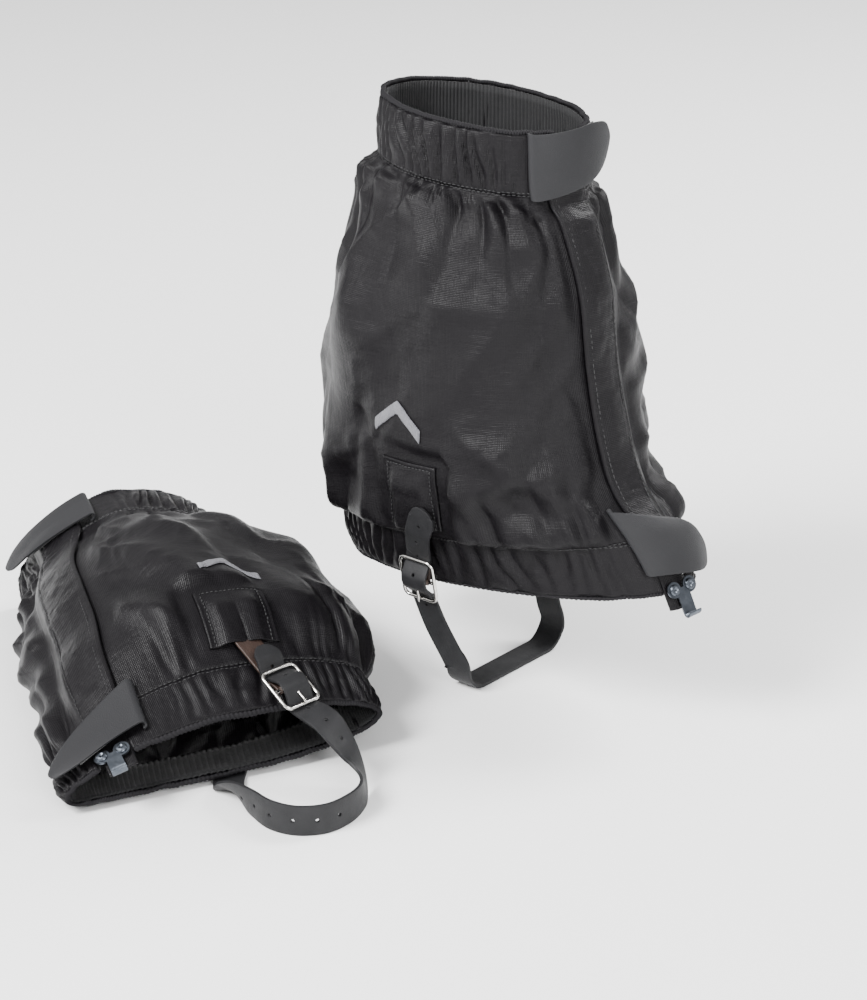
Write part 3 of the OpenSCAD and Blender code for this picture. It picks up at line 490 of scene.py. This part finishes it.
# The front closes with hook and loop: a tongue of cloth with loop tape lies under the flap.
at = start("tape pile")
pile = finish("tape pile", bump=at.noise(2600, 4, 0.7), depth=0.0006, varying={
    "Base Color": at.noise(900, 4).blend((0.006, 0.006, 0.0065), (0.020, 0.020, 0.021)),
    "Roughness": at.noise(900) * 0.1 + 0.85}, Specular_IOR_Level=0.2, Sheen_Weight=0.3)
for g in ("worn", "laid"):
    m, s = np.meshgrid(np.linspace(0.0032, 0.018, 12), np.linspace(-0.35, 8, 120), indexing="ij")
    points = front(g, m, s, -0.0001 + 0.0003 * hills(m * 200, s * 2, 101))
    piece = mesh_piece(f"{g}_under_flap_cloth", g, points, uv=flat_uv(points))
    dress(piece, f"{g}_sleeve", "nylon", nylon, f"{g}_under_flap", thick=CLOTH_T - 0.0002)
    for part, low_o, body, slot in (("loop_tape", 0.0009, "sleeve", "loop"),
            ("hook_tape", 0.0026, "flap_body", "hook_tape")):
        m, s = np.meshgrid(np.linspace(0.0055, 0.015, 9), np.linspace(1, 7, 90), indexing="ij")
        points = front(g, m, s, low_o + 0 * m)
        piece = mesh_piece(f"{g}_{part}_strip", g, points, uv=flat_uv(points))
        dress(piece, f"{g}_{body}", slot, pile, f"{g}_{part}", thick=0.0009)

# The flap is a doubled strip of the same nylon, sewn down along its inner edge and turned under at its
# free edge, which draws in a little towards the hem.
def slant(g, s):
    """How far the flap's free edge draws in towards the hem."""
    return (0.009 if g == "worn" else 0.003) * np.clip((2.4 - s) / 2.4, 0, 1.1) ** 1.3


for g in ("worn", "laid"):
    m, s = np.meshgrid(np.r_[np.linspace(-0.0012, 0.004, 8), np.linspace(0.005, FLAP_W - 0.0016, 18),
                             FLAP_W + 0.0016 * (np.sin(np.linspace(0.12, np.pi / 2, 7)) - 1)],
                       np.linspace(0.5, 8.02, 170), indexing="ij")
    lie = 0.0005 + (FLAP_O + FLAP_T - 0.0005) * soft(m, -0.0012, 0.0045)
    turned = 0.0016 * (1 - np.sqrt(np.clip(1 - (np.clip(m - FLAP_W + 0.0016, 0, 0.0016) / 0.0016) ** 2, 0,
            1)))
    slack = np.sin(np.pi * np.clip(m / FLAP_W, 0, 1)) ** 0.7
    wave = slack * (0.0009 * hills(m * 70, s * 1.6, 111 if g == "worn" else 117) + 0.0004 * hills(m * 160,
            s * 5, 112)
                    + 0.0002 * hills(m * 500, s * 16, 113))
    sewn = 0.0005 * np.exp(-((m - 0.0048) / 0.0007) ** 2)
    ends = 0.0006 * np.exp(-np.minimum(s - 0.5, 8.02 - s) / 0.05)
    points = front(g, m - slant(g, s) * soft(m, 0.004, FLAP_W), s, lie - turned + wave - sewn - ends)
    piece = mesh_piece(f"{g}_flap_cloth", g, points, uv=flat_uv(points))
    dress(piece, f"{g}_flap_body", "nylon", nylon, f"{g}_flap", thick=0.0010)

# Black thread runs along the flap's seam, along both gather lines in two rows, and round the patch.
at = start("black thread", "Object")
black_thread = finish("black thread", bump=at.noise(6000, 2), depth=0.0002, varying={
    "Base Color": at.noise(900).blend((0.004, 0.004, 0.0045), (0.013, 0.0125, 0.014)),
    "Roughness": at.noise(900) * 0.2 + 0.4}, Specular_IOR_Level=0.5)
for g in ("worn", "laid"):
    s = np.linspace(0.6, 7.9, 200)
    for k, m in enumerate((0.0048, FLAP_W - 0.0034)):
        way = m - slant(g, s) * (k == 1)
        line, above = front(g, way, s, FLAP_O + FLAP_T - 0.0001), front(g, way, s, 0.01)
        out = above - line
        stitches(f"{g}_flap_stitches_{k + 1}", g, line, out / np.linalg.norm(out, axis=-1, keepdims=True),
                 black_thread, "nylon", f"{g}_flap_body", thick=0.0003)
    for k, s in enumerate((LOW - 0.05, LOW + 0.008, HIGH - 0.008, HIGH + 0.05)):
        across = np.linspace(0.02, 0.985, 700)
        begin, end = front_u(g, SEAM[g] + 0.75 * FLAP_W, s), 2 * np.pi + front_u(g, SEAM[g], s)
        u = begin + (end - begin) * across
        line, above = on_cloth(g, u, s + 0 * u), on_cloth(g, u, s + 0 * u, 0.001 + 0 * u)
        stitches(f"{g}_gather_stitches_{k + 1}", g, line, (above - line) * 1000, black_thread, "nylon",
                f"{g}_sleeve",
                 pitch=0.0026, long=0.0019)

# The pull tabs are smooth coated sheet, folded round the flap's free edge and closed on hook patches.
TAB_END, TAB_TILT = 0.016, {"top": 0.36, "bottom": -0.46}
FOLD_M, FOLD_O, FOLD_R, TAB_L, TAB_T = 0.0296, 0.00405, 0.0026, 0.040, 0.0012
TAB_LEVELS = {"worn": {"top": (6.95, 8.05), "bottom": (0.42, 1.75)},
        "laid": {"top": (6.98, 7.98), "bottom": (0.22, 1.2)}}
at = start("coated sheet")
scuffs = at.node("TexNoise", {"noise_type": "RIDGED_MULTIFRACTAL"},
                 {"Vector": at.node("Mapping", {}, {"Vector": at, "Scale": (1.0, 0.35, 1.0)}),
                     "Scale": 90.0, "Detail": 4.0})
rub = scuffs.node("ValToRGB", {"stops": [(0.80, 0.0), (0.97, 1.0)]}, {"Fac": scuffs})
coated = finish("coated sheet", bump=at.noise(1400, 4, 0.6) * 0.7 + at.noise(110, 3) * 0.5, depth=0.00025,
        varying={
    "Base Color": (at.noise(24, 3) * 0.5 + rub * 0.35).blend((0.011, 0.011, 0.0122), (0.026, 0.026, 0.0285)),
    "Roughness": at.noise(60, 4) * 0.18 + 0.44 - rub * 0.05}, Specular_IOR_Level=0.22)
for g in ("worn", "laid"):
    for part, (low, high) in TAB_LEVELS[g].items():
        d = np.r_[TAB_L - TAB_END * (1 - np.cos(np.linspace(0, np.pi / 2, 18))),
                np.linspace(TAB_L - TAB_END, 0, 26)[1:]]
        a = np.linspace(0, np.pi, 15)[1:]
        m = np.r_[FOLD_M - d, FOLD_M + FOLD_R * np.sin(a)]
        o = np.r_[FOLD_O + FOLD_R + 0.005 * (d / TAB_L) ** 2, FOLD_O + FOLD_R * np.cos(a)]
        past = np.clip(d - TAB_L + TAB_END, 0, TAB_END) / TAB_END
        share = np.r_[(1 - 0.26 * d / TAB_L) * (1 - 0.80 * (1 - np.sqrt(np.clip(1 - past ** 2, 0, 1)))),
                np.ones(14)]
        k = np.linspace(-0.5, 0.5, 21)[None, :]
        point = TAB_TILT[part] * np.r_[(d / TAB_L) ** 1.3, np.zeros(14)]
        s = (low + high) / 2 + point[:, None] + (high - low) * k * share[:, None]
        curl = 0.0008 * np.abs(2 * k) ** 3 * np.clip(np.r_[d, 0 * a] / TAB_L, 0, 1)[:, None]
        dents = 0.0005 * hills(m[:, None] * 45, s * 3 + (7 if g == "laid" else 0), 121)
        points = front(g, m[:, None] - slant(g, s), s, o[:, None] - curl + dents)
        piece = mesh_piece(f"{g}_{part}_tab_sheet", g, points, uv=flat_uv(points))
        dress(piece, f"{g}_{part}_tab_body", "coated_sheet", coated, f"{g}_{part}_tab", thick=TAB_T - 0.0001)
        edge = piece.modifiers.new("edge", "BEVEL")
        edge.width, edge.segments, edge.limit_method, edge.angle_limit = 0.0003, 2, "ANGLE", 1.0
        d = np.linspace(0.008, 0.029, 12)[:, None]
        s = (low + high) / 2 + (high - low) * np.linspace(-0.4, 0.4, 12)[None, :] + 0 * d
        s = s + TAB_TILT[part] * (d / TAB_L) ** 1.3
        points = front(g, FOLD_M - d - slant(g, s), s,
                FOLD_O + FOLD_R - TAB_T - 0.00035 + 0.005 * (d / TAB_L) ** 2 + 0 * s)
        piece = mesh_piece(f"{g}_{part}_tab_hook_patch", g, points[::-1], uv=flat_uv(points))
        dress(piece, f"{g}_{part}_tab_body", "hook_tape", pile, f"{g}_{part}_tab_hook", thick=0.0009)

# A patch of the same nylon is sewn over the strap's end, open below.
for g in ("worn", "laid"):
    x0, z0 = PATCH[g]
    x, z = np.meshgrid(np.linspace(-0.5, 0.5, 45) * PATCH_W, np.linspace(-0.003, PATCH_H - 0.003, 40),
            indexing="ij")
    s = level(g, z0 + z)
    r = ring(g, s)
    u = np.arccos((x0 + x - r[..., 0]) / r[..., 1])
    pocket = soft(PATCH_W / 2 - np.abs(x), 0.003, 0.010) * soft(PATCH_H - 0.003 - z, 0.003, 0.014)
    hem = soft(np.minimum(PATCH_W / 2 - np.abs(x), PATCH_H - 0.003 - z), 0.0, 0.0007)
    trough = 0.0006 * np.exp(-((np.minimum(PATCH_W / 2 - np.abs(x),
            PATCH_H - 0.003 - z) - 0.0022) / 0.0005) ** 2)
    points = on_cloth(g, u, s, 0.0004 + 0.0009 * hem + 0.0030 * pocket - trough + 0.0005 * hills(x * 150,
            z * 150, 131) * hem)
    piece = mesh_piece(f"{g}_patch_cloth", g, points[::-1], uv=flat_uv(points))
    dress(piece, f"{g}_sleeve", "nylon", nylon, f"{g}_patch", thick=0.0006)
    i, j = 5, 4
    run = np.concatenate([points[-i, :-j], points[-i:i:-1, -j], points[i, -j::-1]])
    normal = facing(points[::-1])[::-1]
    out = np.concatenate([normal[-i, :-j], normal[-i:i:-1, -j], normal[i, -j::-1]])
    stitches(f"{g}_patch_stitches", g, run, out, black_thread, "nylon", f"{g}_sleeve", pitch=0.0024,
            long=0.0018, sink=-0.0001)

# Strap frame: the chape is sewn under the patch and holds the buckle's middle bar, which is the origin.
# X runs across the strap, Y off the cuff, Z up.
LEAN, SWING = {"worn": 11, "laid": 30}, {"worn": 0, "laid": 25}
CHAPE_L, STRAP_W, STRAP_T, WIRE, BUCKLE_H = 0.041, 0.016, 0.002, 0.001, 0.024


def hang(g, p):
    """Point p of the strap frame in the sleeve's: leaned by the cuff's slope, swung about the sewn end."""
    lean, swing = np.radians(LEAN[g]), np.radians(SWING[g])
    x0, z0 = PATCH[g]
    s = level(g, z0)
    r = ring(g, s)
    y0 = skin(g, np.arccos((x0 - r[0]) / r[1]), s)[1] + 0.0066
    z = p[..., 2] - CHAPE_L
    y, z = p[..., 1] * np.cos(lean) + z * np.sin(lean), z * np.cos(lean) - p[..., 1] * np.sin(lean)
    return np.stack([x0 + p[..., 0] * np.cos(swing) + z * np.sin(swing), y0 + y,
                     z0 - p[..., 0] * np.sin(swing) + z * np.cos(swing)], -1)


def curve_through(stops, n):
    """Smooth curve through stops (each row any numbers), n points even along its length."""
    padded = np.vstack([2 * stops[0] - stops[1], stops, 2 * stops[-1] - stops[-2]])
    t = np.linspace(0, len(stops) - 1 - 1e-9, 40 * len(stops))
    i = t.astype(int)
    f = (t - i)[:, None]
    a, b, c, d = (padded[i + k] for k in range(4))
    fine = (2 * b + (c - a) * f + (2 * a - 5 * b + 4 * c - d) * f ** 2 + (3 * b - a - 3 * c + d) * f ** 3) / 2
    way = np.r_[0, np.cumsum(np.linalg.norm(np.diff(fine[:, :3], axis=0), axis=1))]
    return np.stack([np.interp(np.linspace(0, way[-1], n), way,
            fine[:, k]) for k in range(fine.shape[1])], -1)


def tube(path, radius, closed=False, sides=14, up=(1.0, 0.0, 0.0)):
    """Round wire: a circle of the given radius, which may change, carried along a path."""
    step = (np.roll(path, -1, 0) - np.roll(path, 1, 0)) if closed else np.gradient(path, axis=0)
    step = step / np.linalg.norm(step, axis=1, keepdims=True)
    side = np.cross(step, np.array(up))
    side = side / np.maximum(np.linalg.norm(side, axis=1, keepdims=True), 1e-9)
    other = np.cross(step, side)
    turn = np.linspace(0, 2 * np.pi, sides, endpoint=False)[None, :, None]
    radius = np.broadcast_to(radius, len(path))[:, None, None]
    return path[:, None] + radius * (np.cos(turn) * side[:, None] + np.sin(turn) * other[:, None])


at = start("bright nickel", "Object")
nickel = finish("bright nickel", bump=at.noise(900, 2), depth=0.00004, varying={
    "Base Color": at.noise(500, 4).blend((0.62, 0.60, 0.57), (0.80, 0.78, 0.75)),
    "Roughness": at.noise(700, 4) * 0.16 + 0.10}, Metallic=1.0)
at = start("brown leather")
brown = finish("brown leather", bump=at.noise(900, 4, 0.65), depth=0.0003, varying={
    "Base Color": at.noise(160, 4).blend((0.014, 0.008, 0.006), (0.045, 0.024, 0.017)),
    "Roughness": at.noise(300) * 0.2 + 0.42}, Specular_IOR_Level=0.45)
for g in ("worn", "laid"):
    corner, half_w, half_h = 0.0034, STRAP_W / 2 + 0.003, BUCKLE_H / 2
    turn = np.linspace(0, np.pi / 2, 9)
    frame_path = np.concatenate([np.stack([cx * (half_w - corner) + corner * np.cos(turn + a), 0 * turn,
                                           cz * (half_h - corner) + corner * np.sin(turn + a)], -1)
                                 for a, cx, cz in ((0, 1, 1), (np.pi / 2, -1, 1), (np.pi, -1, -1),
                                         (1.5 * np.pi, 1, -1))])
    wire = tube(frame_path, WIRE, closed=True, up=(0.0, 1.0, 0.0))
    rim_wire = mesh_piece(f"{g}_buckle_frame", g, hang(g, wire)[::-1], wrap=(True, True))
    dress(rim_wire, f"{g}_strap_body", "nickel", nickel, f"{g}_buckle")
    x = np.r_[-half_w, np.linspace(-half_w, half_w, 12), half_w]
    bar = tube(np.stack([x, 0 * x, 0 * x], -1)[1:-1], np.r_[0.00086, [0.00096] * 10, 0.00086],
            up=(0.0, 1.0, 0.0))
    bar_wire = mesh_piece(f"{g}_buckle_bar", g, hang(g, bar)[::-1], wrap=(False, True))
    dress(bar_wire, f"{g}_strap_body", "nickel", nickel)
    a = np.linspace(-0.9 * np.pi, 0.46 * np.pi, 22)
    loop = np.stack([0 * a, 0.0021 * np.sin(a + 0.04), 0.0021 * np.cos(a + 0.04)], -1)
    pin = curve_through(np.array([[0, 0.0021, -0.0004], [0, 0.0022, -0.004], [0, 0.0021, -0.009],
            [0, 0.0020, -0.0136]]), 16)
    path = np.vstack([loop, pin[1:]])
    taper = np.r_[np.linspace(0.0003, 0.0008, 3), np.full(len(path) - 7, 0.0008), 0.00078, 0.0007, 0.0005,
            0.0002]
    piece = mesh_piece(f"{g}_prong_wire", g, hang(g, tube(path, taper))[:, ::-1], wrap=(False, True))
    dress(piece, f"{g}_prong_body", "nickel", nickel, f"{g}_prong")
    r, back = 0.0019, -0.0044
    a = np.radians(np.linspace(205, 440, 22))
    profile = np.vstack([np.stack([np.linspace(back, back, 20), np.linspace(0.043, 0.011, 20)], -1),
                         np.stack([np.linspace(back, -0.0022, 9)[1:], np.linspace(0.011, 0.0022, 9)[1:]], -1),
                         np.stack([r * np.cos(a), r * np.sin(a)], -1)])
    rows = curve_through(np.c_[profile[:, 0], profile[:, 1], 0 * profile[:, 0]][::2], 90)
    x = np.linspace(-0.007, 0.007, 19)
    points = np.stack([x[None, :] + 0 * rows[:, :1], rows[:, :1] + 0 * x[None, :],
            rows[:, 1:2] + 0 * x[None, :]], -1)
    slot_here = (rows[:-1, 1] < 0.0055)[:, None] & (np.abs(x[:-1] + x[1:]) / 2 < 0.0021)[None, :]
    piece = mesh_piece(f"{g}_chape_leather", g, hang(g, points), uv=flat_uv(points), gaps=slot_here)
    dress(piece, f"{g}_strap_body", "strap_brown", brown, f"{g}_chape", thick=0.0013)

# The instep strap is a coated webbing strap with punched holes. It passes through the buckle, runs under the
# boot's arch and is sewn to the cuff's inner side; the laid one turns on edge round a loop on the floor.
TIP_UP, TIP_X, HUMP, BEHIND, OVER = {"worn": 0.048, "laid": 0.027}, {"worn": 0.012,
        "laid": 0.0}, 0.00395, -0.0025, 0.0017
ROUTE = {"worn": [[-13, 45.5, 38, 0, 1, -0.1], [-5, 42.5, 22, 0, 1, -0.1], [0, 42, 15, 0, 1, 0],
        [0, 40.1, 8, 0, 0.87, -0.5],
                  [0, 35, 2.9, 0, 0.5, -0.87], [0, 28, 1, 0, 0, -1], [0, 10, 1, 0, 0, -1],
                      [0, -10, 1, 0, 0, -1],
                  [0, -28, 1, 0, 0, -1], [0, -35, 2.9, 0, -0.5, -0.87], [0, -40.1, 8, 0, -0.87, -0.5],
                  [0, -42, 15, 0, -1, 0], [-5, -43, 30, 0, -1, -0.1], [-12, -53.5, 66, 0, -1, -0.1],
                  [-18, -58.5, 100, 0, -1, -0.1], [-18, -58.5, 110, 0, -1, 0]],
         "laid": [[-47, 33, -21, -0.1, 1, -0.7], [-53, 24, -30, -0.5, 0.9, -0.7],
             [-57, 15, -39, -1, 0.6, -0.6],
                  [-57, 9.3, -50, -1, 0.25, -0.3], [-52, 8.3, -61, -1, 0, -0.7], [-42, 8.3, -70, -0.6, 0, -1],
                  [-29, 8.3, -75, -0.1, 0, -1], [-15, 8.3, -72, 0.5, 0, -1], [-5, 8.3, -62, 1, 0, -0.8],
                  [0, 8.3, -48, 1, -0.1, -0.3], [3, 7.3, -36, 1, -0.4, 0], [4, 5, -25, 0.6, -0.9, 0],
                  [3, 1.2, -15, 0, -1, 0], [-1, 1.2, -3, 0, -1, 0], [-9, 1.2, 14, 0, -1, 0],
                      [-20, 1.2, 36, 0, -1, 0]]}
at = start("coated strap")
strap_look = finish("coated strap", bump=at.noise(1100, 4, 0.6) * 0.6 + at.noise(150, 3) * 0.6,
        depth=0.00025, varying={
    "Base Color": at.noise(120, 4).blend((0.008, 0.008, 0.0087), (0.020, 0.020, 0.0216)),
    "Roughness": at.noise(200, 4) * 0.22 + 0.40}, Specular_IOR_Level=0.22)
for g in ("worn", "laid"):
    up, tx, z = TIP_UP[g], TIP_X[g], BUCKLE_H / 2
    stops = np.array([[tx, OVER, up], [tx * 0.92, OVER, up - 0.0035], [tx * 0.85, OVER, up - 0.007],
                      [tx * 0.4, OVER * 0.6, (up + z) / 2 - 0.001], [tx * 0.1, BEHIND * 0.7, z + 0.003],
                          [0, BEHIND, z],
                      [0, BEHIND * 0.7, z - 0.002], [0, HUMP * 0.75, 0.004], [0, HUMP, 0.0015],
                          [0, HUMP, -0.0015],
                      [0, HUMP * 0.75, -0.004], [0, BEHIND * 0.7, 0.002 - z], [0, BEHIND, -z]])
    lean, swing = np.radians(LEAN[g]), np.radians(SWING[g])
    off = np.array([-np.sin(lean) * np.sin(swing), np.cos(lean), -np.sin(lean) * np.cos(swing)])
    route = np.vstack([np.c_[hang(g, stops), np.tile(off, (len(stops), 1))],
                       np.array(ROUTE[g]) * [0.001, 0.001, 0.001, 1, 1, 1]])
    long = np.linalg.norm(np.diff(curve_through(route, 400)[:, :3], axis=0), axis=1).sum()
    count = int(long / 0.0007)
    line = curve_through(route, count)
    rests = 2 if g == "worn" else 1
    line[:, rests] = np.maximum(line[:, rests], STRAP_T / 2 + 0.0001)
    step = np.gradient(line[:, :3], axis=0)
    step /= np.linalg.norm(step, axis=1, keepdims=True)
    across = np.cross(line[:, 3:], step)
    across /= np.linalg.norm(across, axis=1, keepdims=True)
    out = np.cross(step, across)
    way = np.linspace(0, long, count)
    width = STRAP_W * np.clip(np.sqrt(np.clip(1 - ((0.008 - way) / 0.0085) ** 2, 0, 1)), 0.05, 1)
    width = np.where(way > 0.008, STRAP_W, width)
    k = np.linspace(-0.5, 0.5, 25)
    x, y = k[None, :] * width[:, None], way[:, None] + 0 * k[None, :]
    centres = 0.0125 + 0.012 * np.arange(int((long - 0.06) / 0.012))
    seen = centres[(centres < 0.075) | ((centres > 0.13) & (g == "laid"))]
    rows = np.round(seen / (long / (count - 1))).astype(int)
    for row in rows:
        block = (slice(row - 2, row + 3), slice(10, 15))
        i, j = np.meshgrid(np.arange(-2, 3), np.arange(-2, 3), indexing="ij")
        edge, angle = np.maximum(np.abs(i), np.abs(j)) == 2, np.arctan2(i, j)
        x[block] = np.where(edge, 0.00105 * np.cos(angle), x[block])
        y[block] = np.where(edge, way[row] + 0.00105 * np.sin(angle), y[block])
    punched = np.zeros((count - 1, 24), bool)
    for row in rows:
        punched[row - 2:row + 2, 10:14] = True
    at_row = np.stack([np.interp(y, way, line[:, a]) for a in range(3)], -1)
    side = np.stack([np.interp(y, way, across[:, a]) for a in range(3)], -1)
    face = np.stack([np.interp(y, way, out[:, a]) for a in range(3)], -1)
    dome = 0.00025 * (1 - (2 * np.abs(k)[None, :]) ** 4)
    points = at_row + side * x[..., None] + face * (STRAP_T / 2 - 0.0003 + dome)[..., None]
    piece = mesh_piece(f"{g}_strap_webbing", g, points, uv=flat_uv(points), gaps=punched)
    dress(piece, f"{g}_strap_body", "strap_leather", strap_look, f"{g}_strap", thick=STRAP_T - 0.0003)
    edge = piece.modifiers.new("edge", "BEVEL")
    edge.width, edge.segments, edge.limit_method, edge.angle_limit = 0.0002, 2, "ANGLE", 1.0

# The strap's far end is sewn down on the cuff's inner side with a small square of nylon.
for g in ("worn", "laid"):
    x0, z0 = PATCH[g]
    x, z = np.meshgrid(np.linspace(-0.011, 0.011, 14), np.linspace(-0.009, 0.009, 12), indexing="ij")
    s = level(g, z0 + z)
    r = ring(g, s)
    u = 2 * np.pi - np.arccos((x0 + x - r[..., 0]) / r[..., 1])
    points = skin(g, u, s, 0.0008 + 0.0001 * hills(x * 300, z * 300, 141))
    piece = mesh_piece(f"{g}_anchor_cloth", g, points, uv=flat_uv(points))
    dress(piece, f"{g}_sleeve", "nylon", nylon, f"{g}_anchor", thick=0.0007)

# The lace hook is a zinc plated steel plate with two lobes and a curled end, held by two rivets.
at = start("zinc plating", "Object")
zinc = finish("zinc plating", bump=at.noise(700, 3), depth=0.00008, varying={
    "Base Color": at.noise(260, 4).blend((0.045, 0.052, 0.062), (0.14, 0.155, 0.18)),
    "Roughness": at.noise(500, 4) * 0.25 + 0.22}, Metallic=1.0)
for g in ("worn", "laid"):
    for part in ("lace_hook", "rivets", "rivet_caps"):
        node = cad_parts[f"{g}_{part}"]
        node.data.materials.clear()
        node.data.materials.append(zinc)

# A plain raised chevron is embroidered above the patch in light grey satin stitch.
at = start("grey thread")
grey_thread = finish("grey thread", bump=at.wave(0.00055, "X", 1.5) * 0.8 + at.noise(2500, 2) * 0.4,
        depth=0.0004, varying={
    "Base Color": at.noise(700, 3).blend((0.10, 0.10, 0.115), (0.26, 0.26, 0.29)),
    "Roughness": at.noise(500) * 0.15 + 0.36}, Specular_IOR_Level=0.5, Sheen_Weight=0.2)
for g in ("worn", "laid"):
    x0, z0 = PATCH[g]
    t = np.linspace(-1, 1, 121)[:, None]
    k = np.linspace(0, 1, 13)[None, :]
    ragged = 0.0002 * hills(t * 60, k * 2, 151)
    x = x0 - 0.006 + 0.017 * t + 0 * k
    z = z0 + PATCH_H + 0.010 + 0.013 * (1 - np.sqrt(t ** 2 + 0.004)) + k * 0.007 + ragged
    s = level(g, z)
    r = ring(g, s)
    u = np.arccos((x - r[..., 0]) / r[..., 1])
    plump = 0.0005 + 0.0010 * np.sin(np.pi * k) ** 0.5 * np.clip((1 - np.abs(t)) * 14, 0, 1) ** 0.5
    threads = 0.00008 * np.sin(2 * np.pi * t * 31)
    points = on_cloth(g, u, s, plump + threads)
    piece = mesh_piece(f"{g}_chevron", g, points[::-1], uv=flat_uv(points))
    dress(piece, f"{g}_sleeve", "thread", grey_thread, f"{g}_emblem", thick=0.0003)
